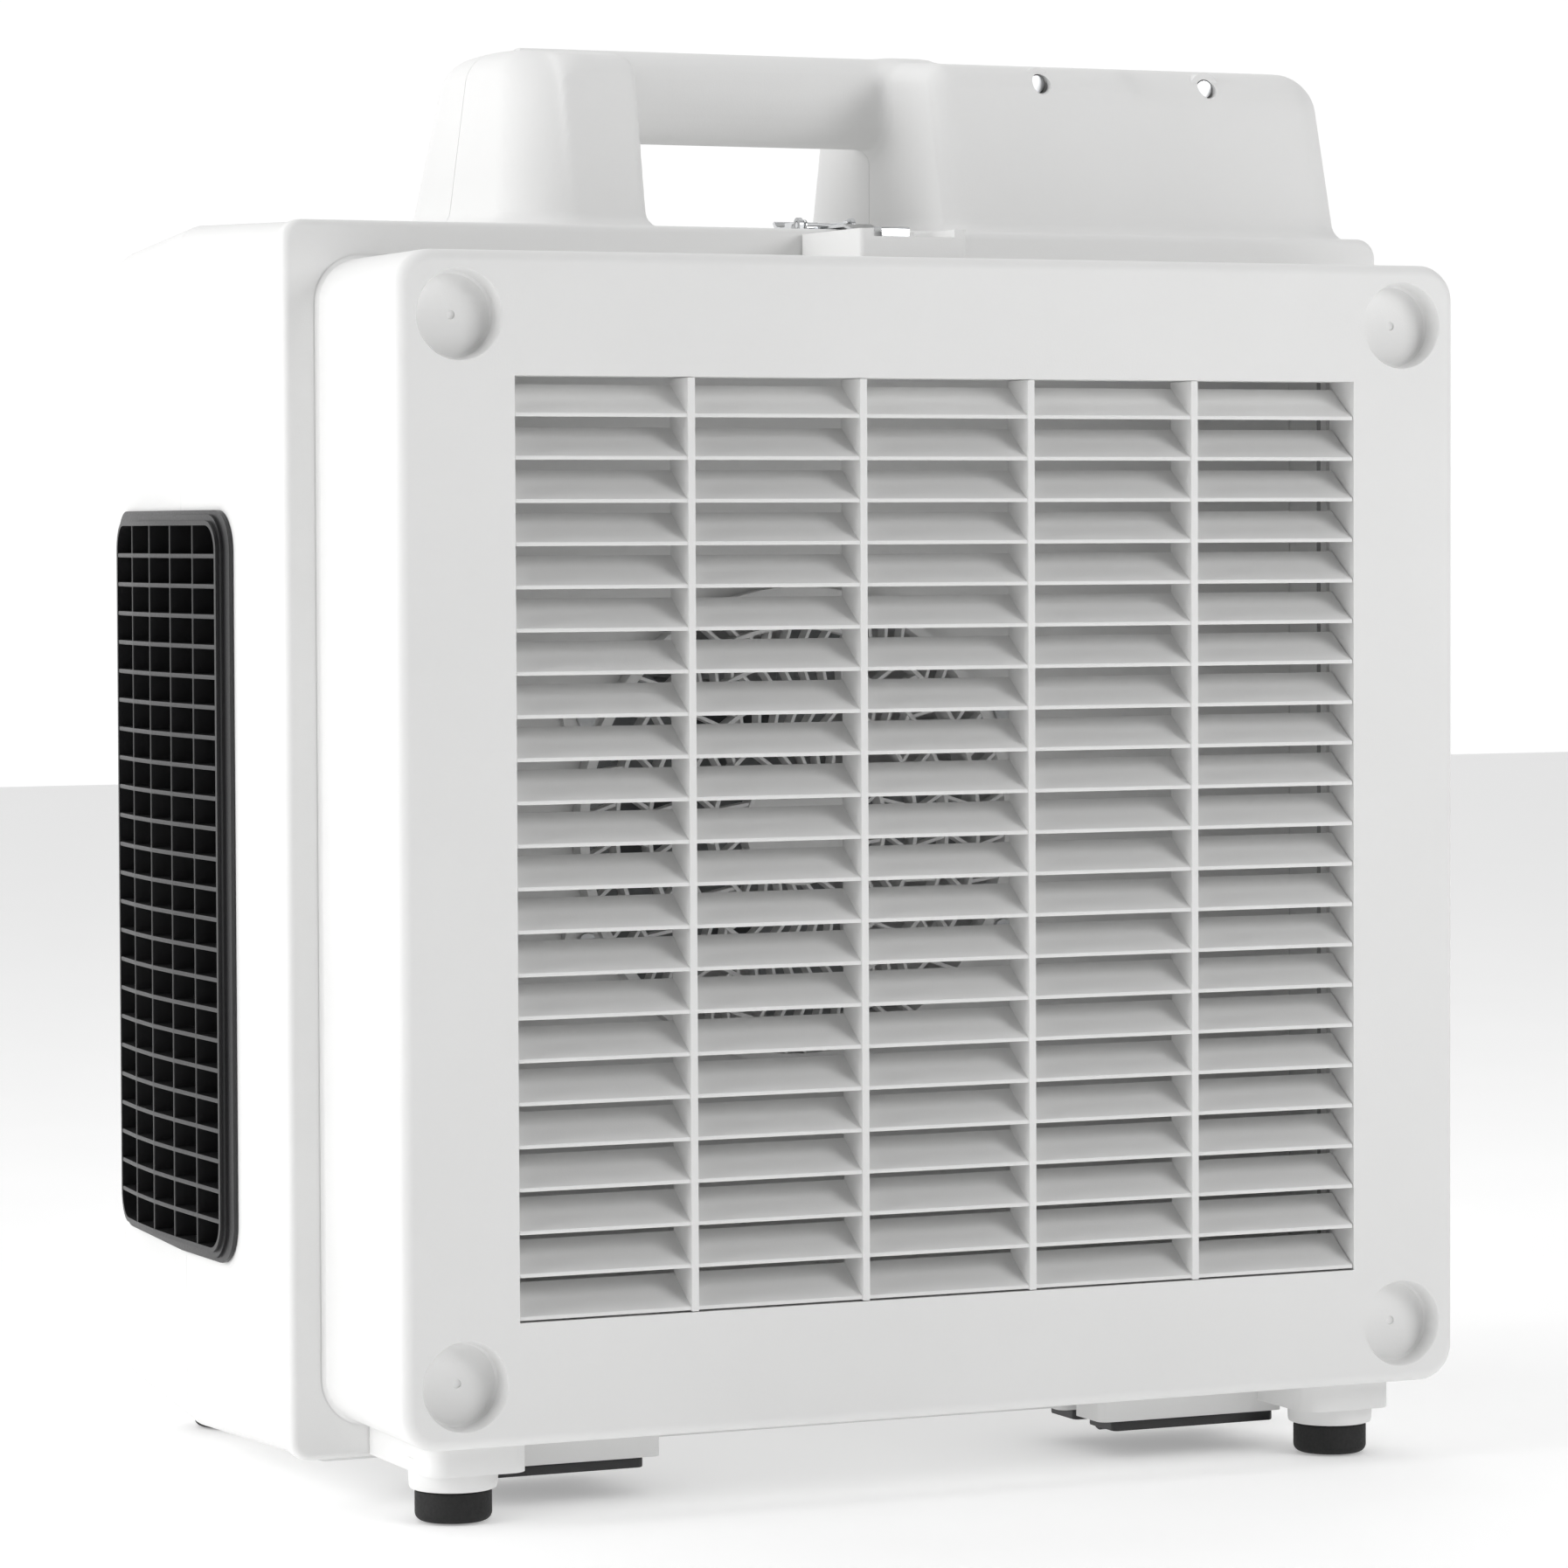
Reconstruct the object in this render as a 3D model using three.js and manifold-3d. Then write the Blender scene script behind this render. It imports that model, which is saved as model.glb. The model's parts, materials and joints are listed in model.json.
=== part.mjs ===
// Portable air mover with a louvred intake door, side outlets and a carrying handle that holds the
// controls. Millimetres, +Z up. The part's origin is the centre of its footprint, at floor level.
//
// Inside the file every piece is drawn in the casing frame: X to the right, Y backwards from the
// door's front face, and Z up from the middle of the intake. The last lines place that frame.
import * as THREE from "three";
import { mergeVertices } from "three/addons/utils/BufferGeometryUtils.js";
import Module from "manifold-3d";

const wasm = await Module();
wasm.setup();

// ---------------------------------------------------------------- driving dimensions
const DEPTH = 340;            // door face to the back bumpers' faces
const FLOOR_Z = -250;         // underside of the rubber feet
const GAP = 0.3;              // clearance between separate pieces
const WALL = 3;               // moulded wall thickness
const CORNER_STEPS = 3;       // facets in a quarter round

const DOOR_HALF_X = 220.4;
const DOOR_HALF_Z = 218.5;
const DOOR_BACK = 81;         // where the door's skirt starts to flare
const DOOR_EDGE = 83.7;       // the flare's rear edge, just clear of the flange
const LAND_HALF = 206;        // half the opening inside the flange and inside the door's gasket ledge
const APERTURE_HALF_X = 175;
const APERTURE_HALF_Z = 173;
const SLAT_COUNT = 22;
const SLAT_PITCH = 15.73;
const SLAT_TOP_MARGIN = 15;
const RIB_PITCH = 70;
const RIB_HALF = 1.45;

const FLANGE_FRONT = 84;
const FLANGE_BACK = 92;
const PARTING = 214.5;
const CASE_BACK = 332;
const BULKHEAD_Y = 143.3;
const FAN_Z = -1;
const FAN_HOLE_R = 92;

const HINGE_Y = 88;
const HINGE_Z = -238.3;
const FOOT_X = 186.4;
const FOOT_TOP = -238.1;
const FRONT_FOOT_Y = 39.3;
const REAR_FOOT_Y = 294;

const HANDLE_SPLIT = 175;
const GRIP_Z = 288.6;
const GRIP_R = 18.2;
const HANDLE_TOP = 307.5;

const LATCH_PIVOT = [110, 235.6];   // Y and Z of the lever's pivot
const HOOK_PIVOT = [119, 235.0];    // Y and Z of the hook's pivot on the lever

// ---------------------------------------------------------------- materials
const LOOKS = {
  shell: { color: 0xf2f2f0, roughness: 0.55, metalness: 0 },
  black: { color: 0x1b1b1c, roughness: 0.45, metalness: 0 },
  rubber: { color: 0x141414, roughness: 0.85, metalness: 0 },
  foam: { color: 0x2b2b2d, roughness: 0.95, metalness: 0 },
  chrome: { color: 0xd5d7d9, roughness: 0.18, metalness: 1 },
  zinc: { color: 0xb8bbbd, roughness: 0.4, metalness: 1 },
  motor: { color: 0x33383d, roughness: 0.5, metalness: 0.4 },
  fan: { color: 0xa2a4a6, roughness: 0.5, metalness: 0 },
  red: { color: 0xb3201a, roughness: 0.4, metalness: 0 },
};

// ---------------------------------------------------------------- solid helpers
function toSolid(geometry) {
  const bare = geometry.clone();
  bare.deleteAttribute("normal");
  bare.deleteAttribute("uv");
  const welded = mergeVertices(bare, 1e-4);
  return new wasm.Manifold(new wasm.Mesh({
    numProp: 3,
    vertProperties: new Float32Array(welded.attributes.position.array),
    triVerts: new Uint32Array(welded.index.array),
  }));
}

function toGeometry(solid) {
  const mesh = solid.getMesh();
  const geometry = new THREE.BufferGeometry();
  geometry.setAttribute("position", new THREE.BufferAttribute(new Float32Array(mesh.vertProperties), 3));
  geometry.setIndex(new THREE.BufferAttribute(new Uint32Array(mesh.triVerts), 1));
  geometry.computeVertexNormals();
  return geometry;
}

function union(...solids) {
  return solids.reduce((sum, solid) => sum.add(solid));
}

function cut(solid, ...tools) {
  return tools.reduce((left, tool) => left.subtract(tool), solid);
}

// A point from a place along an axis and two coordinates across it, in X, Y, Z order.
function acrossAxis(axis, along, u, v) {
  if (axis === "x") return [along, u, v];
  if (axis === "y") return [u, along, v];
  return [u, v, along];
}

// A closed body through a stack of rounded rectangles: { at, u: [lo, hi], v: [lo, hi], r }. The radius
// of the corners at low u is rLow where that is given.
function loft(axis, sections) {
  const points = [];
  for (const { at, u, v, r: rHigh, rLow = rHigh } of sections) {
    const corners = [
      [u[1] - rHigh, v[1] - rHigh], [u[0] + rLow, v[1] - rLow],
      [u[0] + rLow, v[0] + rLow], [u[1] - rHigh, v[0] + rHigh]];
    corners.forEach(([cu, cv], quarter) => {
      const r = quarter === 1 || quarter === 2 ? rLow : rHigh;
      for (let step = 0; step <= CORNER_STEPS; step += 1) {
        const angle = (quarter + step / CORNER_STEPS) * Math.PI / 2;
        points.push(acrossAxis(axis, at, cu + r * Math.cos(angle), cv + r * Math.sin(angle)));
      }
    });
  }
  const ring = 4 * (CORNER_STEPS + 1);
  const faces = [];
  const flip = (axis === "y") !== (sections[0].at > sections[sections.length - 1].at);
  const face = (a, b, c) => faces.push(...(flip ? [a, c, b] : [a, b, c]));
  for (let s = 0; s + 1 < sections.length; s += 1) {
    for (let i = 0; i < ring; i += 1) {
      const a = s * ring + i;
      const b = s * ring + (i + 1) % ring;
      face(a, b, b + ring);
      face(a, b + ring, a + ring);
    }
  }
  const last = (sections.length - 1) * ring;
  for (let i = 1; i + 1 < ring; i += 1) {
    face(0, i + 1, i);
    face(last, last + i, last + i + 1);
  }
  const geometry = new THREE.BufferGeometry();
  geometry.setAttribute("position", new THREE.Float32BufferAttribute(points.flat(), 3));
  geometry.setIndex(faces);
  return toSolid(geometry);
}

function roundedBlock(axis, from, to, u, v, r) {
  return loft(axis, [{ at: from, u, v, r }, { at: to, u, v, r }]);
}

function block(x, y, z) {
  const geometry = new THREE.BoxGeometry(x[1] - x[0], y[1] - y[0], z[1] - z[0]);
  geometry.translate((x[0] + x[1]) / 2, (y[0] + y[1]) / 2, (z[0] + z[1]) / 2);
  return toSolid(geometry);
}

// A round bar along an axis through the point (u, v), tapered when endRadius is given.
function rod(axis, from, to, [u, v], radius, sides = 12, endRadius = radius) {
  const geometry = new THREE.CylinderGeometry(endRadius, radius, to - from, sides);
  if (axis === "x") geometry.rotateZ(-Math.PI / 2);
  if (axis === "z") geometry.rotateX(Math.PI / 2);
  geometry.translate(...acrossAxis(axis, (from + to) / 2, u, v));
  return toSolid(geometry);
}

// A turned body about the Y axis through (x, z): the profile lists [radius, y] and closes on itself.
function turned([x, z], profile, sides = 24) {
  const outline = profile.map(([radius, y]) => new THREE.Vector2(radius, y));
  if (profile[0][0] > 0) outline.push(outline[0].clone());
  const geometry = new THREE.LatheGeometry(outline, sides);
  geometry.translate(x, 0, z);
  return toSolid(geometry);
}

// A prism along X of an outline in Y and Z.
function prismX(outline, from, to) {
  const shape = new THREE.Shape(outline.map(([y, z]) => new THREE.Vector2(y, z)));
  const geometry = new THREE.ExtrudeGeometry(shape, { depth: to - from, bevelEnabled: false });
  geometry.applyMatrix4(new THREE.Matrix4().set(0, 0, 1, from, 1, 0, 0, 0, 0, 1, 0, 0, 0, 0, 0, 1));
  return toSolid(geometry);
}

// A prism along Z of an outline in X and Y.
function prismZ(outline, from, to) {
  const shape = new THREE.Shape(outline.map(([x, y]) => new THREE.Vector2(x, y)));
  const geometry = new THREE.ExtrudeGeometry(shape, { depth: to - from, bevelEnabled: false });
  geometry.translate(0, 0, from);
  return toSolid(geometry);
}

// ---------------------------------------------------------------- assembly
const casing = new THREE.Group();

function add(name, look, solid, parent = casing) {
  const mesh = new THREE.Mesh(toGeometry(solid), new THREE.MeshStandardMaterial(LOOKS[look]));
  mesh.name = name;
  parent.add(mesh);
  return mesh;
}

const SIDES = [["left", -1], ["right", 1]];
const span = (a, b) => [Math.min(a, b), Math.max(a, b)];

// ---------------------------------------------------------------- casing outline
// The casing's outer section at a depth y: it widens to the parting line, then tapers to the back.
const CASE_RINGS = [
  { at: 86, half: 229, top: 232.6, bottom: -233 },
  { at: PARTING, half: 231, top: 236.8, bottom: -237.3 },
  { at: 320, half: 222, top: 232, bottom: -233.3 },
];

function caseSection(y, inset, r = 10) {
  const second = y > PARTING ? 2 : 1;
  const [a, b] = [CASE_RINGS[second - 1], CASE_RINGS[second]];
  const t = (y - a.at) / (b.at - a.at);
  const mix = (key) => a[key] + t * (b[key] - a[key]);
  const half = mix("half") - inset;
  return {
    at: y,
    u: [-half, half],
    v: [mix("bottom") + inset, mix("top") - inset],
    r: Math.max(r - inset, 1),
  };
}

function shifted(section, at) {
  return { ...section, at };
}

// The side wall's outer X at a depth y.
const wallX = (y) => caseSection(y, 0).u[1];

// ---------------------------------------------------------------- side outlet grilles
const GRILLE = {
  flangeY: [154, 316], flangeZ: [-166.7, 125], flangeR: 16,
  rimY: [162.8, 297.3], rimZ: [-163, 120.9], rimR: 12, rimWall: 2,
  columns: [190.1, 216.4, 242.7, 269],
  rows: 23, rowPitch: 11.7, topBar: 107.2,
  face: [[145, 234.2], [216.4, 235.4], [242.7, 235.2], [269, 233.7], [319, 228.7]],
  depth: 14, bar: 1.8, plate: 2,
};
const WALL_DEPTHS = [145, PARTING, 319];

// A slab between two lines of [y, x] points, on one side of the casing.
function sideSlab(side, inner, outer) {
  const outline = [...inner, ...[...outer].reverse()].map(([y, x]) => [side * x, y]);
  return prismZ(side > 0 ? outline.reverse() : outline, -175, 135);
}

const throughWall = (side) => span(side * 200, side * 245);

function sideOpening(side) {
  const [from, to] = throughWall(side);
  return roundedBlock("x", from, to, [GRILLE.rimY[0] - GAP, GRILLE.rimY[1] + GAP],
    [GRILLE.rimZ[0] - GAP, GRILLE.rimZ[1] + GAP], GRILLE.rimR);
}

function sideGrille(side) {
  const [from, to] = throughWall(side);
  const inset = GRILLE.rimWall;
  const rim = roundedBlock("x", from, to, GRILLE.rimY, GRILLE.rimZ, GRILLE.rimR);
  const rimHole = roundedBlock("x", from - 1, to + 1,
    [GRILLE.rimY[0] + inset, GRILLE.rimY[1] - inset],
    [GRILLE.rimZ[0] + inset, GRILLE.rimZ[1] - inset], GRILLE.rimR - inset);
  const flange = roundedBlock("x", from, to, GRILLE.flangeY, GRILLE.flangeZ, GRILLE.flangeR);
  const bars = [];
  for (let row = 0; row < GRILLE.rows; row += 1) {
    const z = GRILLE.topBar - row * GRILLE.rowPitch;
    const height = [z - GRILLE.bar / 2, z + GRILLE.bar / 2];
    bars.push(block([from, to], [GRILLE.rimY[0] + 1, GRILLE.rimY[1] - 1], height));
  }
  for (const y of GRILLE.columns) {
    const width = [y - GRILLE.bar / 2, y + GRILLE.bar / 2];
    bars.push(block([from, to], width, [GRILLE.rimZ[0] + 1, GRILLE.rimZ[1] - 1]));
  }
  const behindFace = GRILLE.face.map(([y, x]) => [y, x - GRILLE.depth]);
  const wallPlus = (offset) => WALL_DEPTHS.map((y) => [y, wallX(y) + offset]);
  const raised = union(cut(rim, rimHole), ...bars).intersect(sideSlab(side, behindFace, GRILLE.face));
  const plate = cut(flange, rimHole).intersect(sideSlab(side, wallPlus(GAP), wallPlus(GRILLE.plate)));
  return raised.add(plate);
}

// ---------------------------------------------------------------- casing shells
function hingePad(xSpan, ySpan, top) {
  return roundedBlock("z", -235.6, top, xSpan, ySpan, 4);
}

// The square opening that the filter passes through, in the flange and in the door's ledge.
const landOpening = (from, to) => (
  roundedBlock("y", from, to, [-LAND_HALF, LAND_HALF], [-LAND_HALF, LAND_HALF], 8));

function frontShell() {
  const flange = loft("y", [FLANGE_FRONT, FLANGE_BACK].map((at) => (
    { at, u: [-234, 234], v: [-232.3, 233], r: 8 })));
  const body = loft("y", [caseSection(86, 0), caseSection(PARTING, 0)]);
  const pads = SIDES.map(([, s]) => hingePad(span(s * 94, s * 176), [93.5, 118], -229));
  const latchDoubler = block([-17, 17], [94, BULKHEAD_Y - GAP], [227, 232]);
  const hollow = loft("y", [shifted(caseSection(86, WALL), FLANGE_FRONT + WALL), caseSection(PARTING, WALL),
    shifted(caseSection(PARTING, WALL), PARTING + 4)]);
  const mouth = landOpening(FLANGE_FRONT - 2, FLANGE_FRONT + WALL + 2);
  const latchPocket = block([-14, 14], [95, 142], [231.6, 240]);
  const shell = union(flange, body, ...pads);
  return cut(cut(shell, hollow).add(latchDoubler), mouth, latchPocket, sideOpening(-1), sideOpening(1));
}

function rearShell() {
  const outer = loft("y", [
    caseSection(PARTING + GAP, 0), caseSection(319.9, 0, 12), shifted(caseSection(319.9, 1.6, 12), 326),
    shifted(caseSection(319.9, 5, 14), 330), shifted(caseSection(319.9, 11, 18), CASE_BACK)]);
  const hollow = loft("y", [
    shifted(caseSection(PARTING + GAP, WALL), PARTING - 4), caseSection(PARTING + GAP, WALL),
    caseSection(318, WALL, 12), shifted(caseSection(318, WALL + 8, 18), CASE_BACK - WALL)]);
  const feet = SIDES.map(([, s]) => rod("z", FOOT_TOP, -226, [s * FOOT_X, REAR_FOOT_Y], 16.5, 20));
  const shell = cut(outer, hollow);
  const bosses = cut(union(...feet), hollow);
  return cut(shell.add(bosses), sideOpening(-1), sideOpening(1));
}

add("front_shell", "shell", frontShell());
add("rear_shell", "shell", rearShell());
for (const [side, s] of SIDES) add(`side_grille_${side}`, "black", sideGrille(s));

// ---------------------------------------------------------------- rubber feet and back bumpers
function rubberFoot(x, y) {
  const round = [[14.4, FOOT_TOP - GAP], [14.4, FLOOR_Z + 3], [13.5, FLOOR_Z + 0.9], [11.4, FLOOR_Z]];
  const outline = [[0, FOOT_TOP - GAP], ...round, [0, FLOOR_Z]].reverse();
  const geometry = new THREE.LatheGeometry(outline.map(([r, z]) => new THREE.Vector2(r, z)), 20);
  geometry.rotateX(Math.PI / 2);
  geometry.translate(x, y, 0);
  return toSolid(geometry);
}

for (const [side, s] of SIDES) {
  add(`front_foot_${side}`, "rubber", rubberFoot(s * FOOT_X, FRONT_FOOT_Y));
  add(`rear_foot_${side}`, "rubber", rubberFoot(s * FOOT_X, REAR_FOOT_Y));
  for (const [level, z] of [["upper", 195], ["lower", -195]]) {
    add(`back_bumper_${level}_${side}`, "rubber", rod("y", CASE_BACK + GAP, DEPTH, [s * 194, z], 9, 16, 8));
  }
}

// ---------------------------------------------------------------- door
const CUP = { x: 196.4, z: 195, r: 16.2, depth: 9 };   // the round recesses in the door's corners

function doorFrame() {
  const square = (at, inset, r) => (
    {
      at,
      u: [-DOOR_HALF_X + inset, DOOR_HALF_X - inset],
      v: [-DOOR_HALF_Z + inset, DOOR_HALF_Z - inset],
      r,
    });
  const outer = loft("y", [
    square(0, 3.6, 11), square(1.1, 1.1, 13), square(4, 0, 14), square(DOOR_BACK, 0, 17),
    square(DOOR_BACK + 1.5, 0, 17), square(DOOR_EDGE, -1.2, 18)]);
  const hollow = loft("y", [square(WALL, WALL, 12), square(DOOR_EDGE + 2, WALL, 14)]);
  const ledge = cut(
    roundedBlock("y", DOOR_BACK - 5, DOOR_BACK - GAP, [-DOOR_HALF_X + 2, DOOR_HALF_X - 2],
      [-DOOR_HALF_Z + 2, DOOR_HALF_Z - 2], 15),
    landOpening(DOOR_BACK - 6, DOOR_BACK + 1));
  const aperture = block([-APERTURE_HALF_X, APERTURE_HALF_X], [-2, 30], [-APERTURE_HALF_Z, APERTURE_HALF_Z]);
  const cupPlaces = SIDES.flatMap(([, s]) => [[s * CUP.x, CUP.z], [s * CUP.x, -CUP.z]]);
  const cups = cupPlaces.map((place) => rod("y", 1, CUP.depth + WALL, place, CUP.r + WALL - 0.2, 20));
  const cupWells = cupPlaces.map((place) => rod("y", -1, CUP.depth, place, CUP.r, 20));
  const apertureWall = cut(
    block([-APERTURE_HALF_X - WALL, APERTURE_HALF_X + WALL], [1, 19],
      [-APERTURE_HALF_Z - WALL, APERTURE_HALF_Z + WALL]),
    aperture);
  const tray = cut(cut(outer, hollow).add(union(apertureWall, ledge, ...cups)), aperture, ...cupWells);
  const blocks = SIDES.flatMap(([, s]) => [
    roundedBlock("z", -231, -217, span(s * 164, s * 203), [18, DOOR_EDGE], 7),
    rod("z", FOOT_TOP, -230, [s * FOOT_X, FRONT_FOOT_Y], 16.5, 20),
    hingePad(span(s * 94, s * 176), [58, 82.4], -217),
  ]);
  const keeper = cut(
    roundedBlock("z", 217, 230.5, [-22.4, 22.4], [29, DOOR_EDGE], 2),
    block([-17, 17], [32, DOOR_EDGE + 2], [226, 240]),
    block([-17, 17], [20, 34], [227.5, 240]));
  const catchLip = block([-9, 9], [48, 52], [225, 230.3]);
  return union(tray, ...blocks, keeper, catchLip);
}

function louvrePanel() {
  const [hx, hz] = [APERTURE_HALF_X - GAP, APERTURE_HALF_Z - GAP];
  const depth = 17;
  const pieces = [];
  for (const rib of [-1.5, -0.5, 0.5, 1.5]) {
    const x = rib * RIB_PITCH;
    pieces.push(block([x - RIB_HALF, x + RIB_HALF], [0.4, depth], [-hz, hz]));
  }
  for (let i = 0; i < SLAT_COUNT; i += 1) {
    const z = APERTURE_HALF_Z - SLAT_TOP_MARGIN - i * SLAT_PITCH;
    const outline = [[0.9, z], [16.5, z + 10], [16.5, z + 12.2], [0.9, z + 1.6]];
    pieces.push(prismX(outline, -hx, hx));
  }
  const envelope = block([-hx, hx], [0.4, depth], [-hz, hz]);
  return union(...pieces).intersect(envelope);
}

// The foam seal on the door's ledge, which meets the flange's front face.
function doorGasket() {
  const half = 214.8;
  const ring = roundedBlock("y", DOOR_BACK, FLANGE_FRONT - GAP, [-half, half], [-half, half], 12);
  return cut(ring, landOpening(DOOR_BACK - 1, FLANGE_FRONT + 1));
}

add("door_frame", "shell", doorFrame());
add("louvre_panel", "shell", louvrePanel());
add("door_gasket", "foam", doorGasket());

// ---------------------------------------------------------------- door hinges
// Three knuckles on one pin: the door's leaf has the two outer ones, the casing's leaf the middle one.
const KNUCKLES = [107.8, 125.8, 143.8, 161.8];
const PIN_R = 2;

function hingeLeaf(side, knuckles, yPlate) {
  const axis = [HINGE_Y, HINGE_Z];
  const spanOf = (k) => span(side * (KNUCKLES[k] + GAP / 2), side * (KNUCKLES[k + 1] - GAP / 2));
  const plate = roundedBlock("z", -239.8, -235.9, span(side * 100.5, side * 172.7), yPlate, 1.5);
  const inward = yPlate[0] < HINGE_Y ? [yPlate[1] - 1, HINGE_Y] : [HINGE_Y, yPlate[0] + 1];
  const barrels = knuckles.flatMap((k) => [
    rod("x", ...spanOf(k), axis, 5, 16),
    block(spanOf(k), inward, [-239.8, -235.9]),
  ]);
  const bore = rod("x", ...span(side * 100, side * 170), axis, PIN_R + GAP, 12);
  return cut(union(plate, ...barrels), bore);
}

for (const [side, s] of SIDES) {
  add(`hinge_door_leaf_${side}`, "black", hingeLeaf(s, [0, 2], [60, 82.4]));
  add(`hinge_case_leaf_${side}`, "black", hingeLeaf(s, [1], [93.6, 116]));
  add(`hinge_pin_${side}`, "zinc", rod("x", ...span(s * 106, s * 163.6), [HINGE_Y, HINGE_Z], PIN_R, 12));
}

// ---------------------------------------------------------------- draw latch
const CHEEK = [8.4, 9.6];

function latchBase() {
  const [py, pz] = LATCH_PIVOT;
  const plate = block([-12.2, 12.2], [96, 141], [231.9, 232.6]);
  const ears = SIDES.map(([, s]) => {
    const x = span(s * 10.4, s * 12.2);
    return block(x, [py - 3, py + 3], [232.4, pz]).add(rod("x", ...x, LATCH_PIVOT, 3, 16));
  });
  const holes = rod("x", -14, 14, [py, pz], 1.6, 12);
  const rivetHoles = [100, 137].map((y) => rod("z", 230, 234, [0, y], 1.8, 12));
  return cut(union(plate, ...ears), holes, ...rivetHoles);
}

function latchLever() {
  const [py, pz] = LATCH_PIVOT;
  const [hy, hz] = HOOK_PIVOT;
  const cheeks = SIDES.map(([, s]) => {
    const x = span(s * CHEEK[0], s * CHEEK[1]);
    const nose = rod("x", ...x, LATCH_PIVOT, 2.2, 16);
    const arm = block(x, [py, hy + 8], [pz - 2.2, pz + 1.6]);
    const stub = rod("x", ...span(s * CHEEK[0], s * 12.2), LATCH_PIVOT, 1.3, 12);
    return union(nose, arm, stub);
  });
  const tab = roundedBlock("z", hz - 0.9, hz + 0.7, [-9.6, 9.6], [hy + 3.4, 138], 2);
  const pinHole = rod("x", -12, 12, [hy, hz], 1.5, 12);
  return cut(union(tab, ...cheeks), pinHole);
}

function latchHook() {
  const [hy, hz] = HOOK_PIVOT;
  const barrel = rod("x", -6, 6, HOOK_PIVOT, 2.1, 14);
  const strap = prismX([
    [hy, hz - 1.5], [hy, hz - 0.2], [80, 234.8], [70, 232.2], [47, 232.2], [45.2, 230.8], [45.2, 226.6],
    [46.6, 226.6], [46.6, 230.9], [70, 230.9], [80, 233.5]].reverse(), -6, 6);
  return cut(barrel.add(strap), rod("x", -8, 8, [hy, hz], 1.5, 12));
}

add("latch_base", "zinc", latchBase());
add("latch_lever", "chrome", latchLever());
add("latch_hook", "chrome", latchHook());
add("latch_hook_pin", "zinc", rod("x", -9.6, 9.6, HOOK_PIVOT, 1.2, 12));
[100, 137].forEach((y, i) => {
  const rivet = rod("z", 231.9, 233, [0, y], 1.5, 12).add(rod("z", 232.9, 233.2, [0, y], 2.4, 12));
  add(`latch_rivet_${i + 1}`, "zinc", rivet);
});

// ---------------------------------------------------------------- fan
const GUARD_SCREW_R = 101;
const GUARD_SCREWS = [25.7, 154.3, 205.7, 334.3].map((degrees) => {
  const angle = THREE.MathUtils.degToRad(degrees);
  return [GUARD_SCREW_R * Math.cos(angle), FAN_Z + GUARD_SCREW_R * Math.sin(angle)];
});
const GUARD_SCREW_TIP = 151;
const BULKHEAD_BACK = BULKHEAD_Y + WALL;
const SHROUD_BACK = 180;
const SHROUD_FLANGE_R = 108;

// Holes for the four screws that clamp the guard, the bulkhead and the shroud together.
const guardScrewHoles = (radius) => GUARD_SCREWS.map((place) => (
  rod("y", BULKHEAD_Y - 10, GUARD_SCREW_TIP + 1, place, radius, 8)));

function bulkhead() {
  const plate = loft("y", [caseSection(BULKHEAD_Y, WALL + GAP), caseSection(BULKHEAD_BACK, WALL + GAP)]);
  const hole = rod("y", BULKHEAD_Y - 2, BULKHEAD_BACK + 2, [0, FAN_Z], FAN_HOLE_R, 32);
  return cut(plate, hole, ...guardScrewHoles(1.9));
}

// The duct around the impeller: a short tube with a flange that the guard screws hold.
function fanShroud() {
  const front = BULKHEAD_BACK + GAP;
  const ring = turned([0, FAN_Z], [
    [FAN_HOLE_R, front], [SHROUD_FLANGE_R, front], [SHROUD_FLANGE_R, front + 2.5],
    [FAN_HOLE_R + WALL, front + 2.5], [FAN_HOLE_R + WALL, SHROUD_BACK], [FAN_HOLE_R, SHROUD_BACK]], 32);
  return cut(ring, ...guardScrewHoles(1.9));
}

function fingerGuard() {
  const [front, back] = [135, BULKHEAD_Y - GAP];
  const lugThickness = 4;
  const rimR = 93;
  const ring = (radius, half) => turned([0, FAN_Z],
    [[radius - half, front], [radius + half, front], [radius + half, back], [radius - half, back]], 20);
  const rings = [rimR, 73, 53, 33].map((radius) => ring(radius, radius === rimR ? 2 : 1));
  const hub = rod("y", front, back, [0, FAN_Z], 18, 20);
  const spokes = [];
  for (let i = 0; i < 4; i += 1) {
    const geometry = new THREE.BoxGeometry(2 * rimR, 5, 2.2);
    geometry.rotateY(i * Math.PI / 4 + Math.PI / 8);
    geometry.translate(0, back - 2.6, FAN_Z);
    spokes.push(toSolid(geometry));
  }
  const lugs = GUARD_SCREWS.map((place) => rod("y", back - lugThickness, back, place, 9, 10));
  return cut(union(...rings, hub, ...spokes, ...lugs), ...guardScrewHoles(2.2));
}

function guardScrew(place) {
  const lugFace = BULKHEAD_Y - GAP - 4 - GAP;
  const head = rod("y", lugFace - 2.2, lugFace, place, 3.8, 8);
  const shank = rod("y", lugFace - 0.1, GUARD_SCREW_TIP, place, 1.6, 6);
  return head.add(shank);
}

add("fan_bulkhead", "shell", bulkhead());
add("fan_shroud", "shell", fanShroud());
add("finger_guard", "shell", fingerGuard());
GUARD_SCREWS.forEach((place, i) => add(`guard_screw_${i + 1}`, "zinc", guardScrew(place)));

const SHAFT_R = 5;
const MOTOR_FRONT = 206;
const MOTOR_BACK = 284;
const FOUR_CORNERS = [[-1, -1], [-1, 1], [1, -1], [1, 1]];
const MOTOR_SCREWS = FOUR_CORNERS.map(([sx, sz]) => [sx * 26, FAN_Z + sz * 26]);

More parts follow.
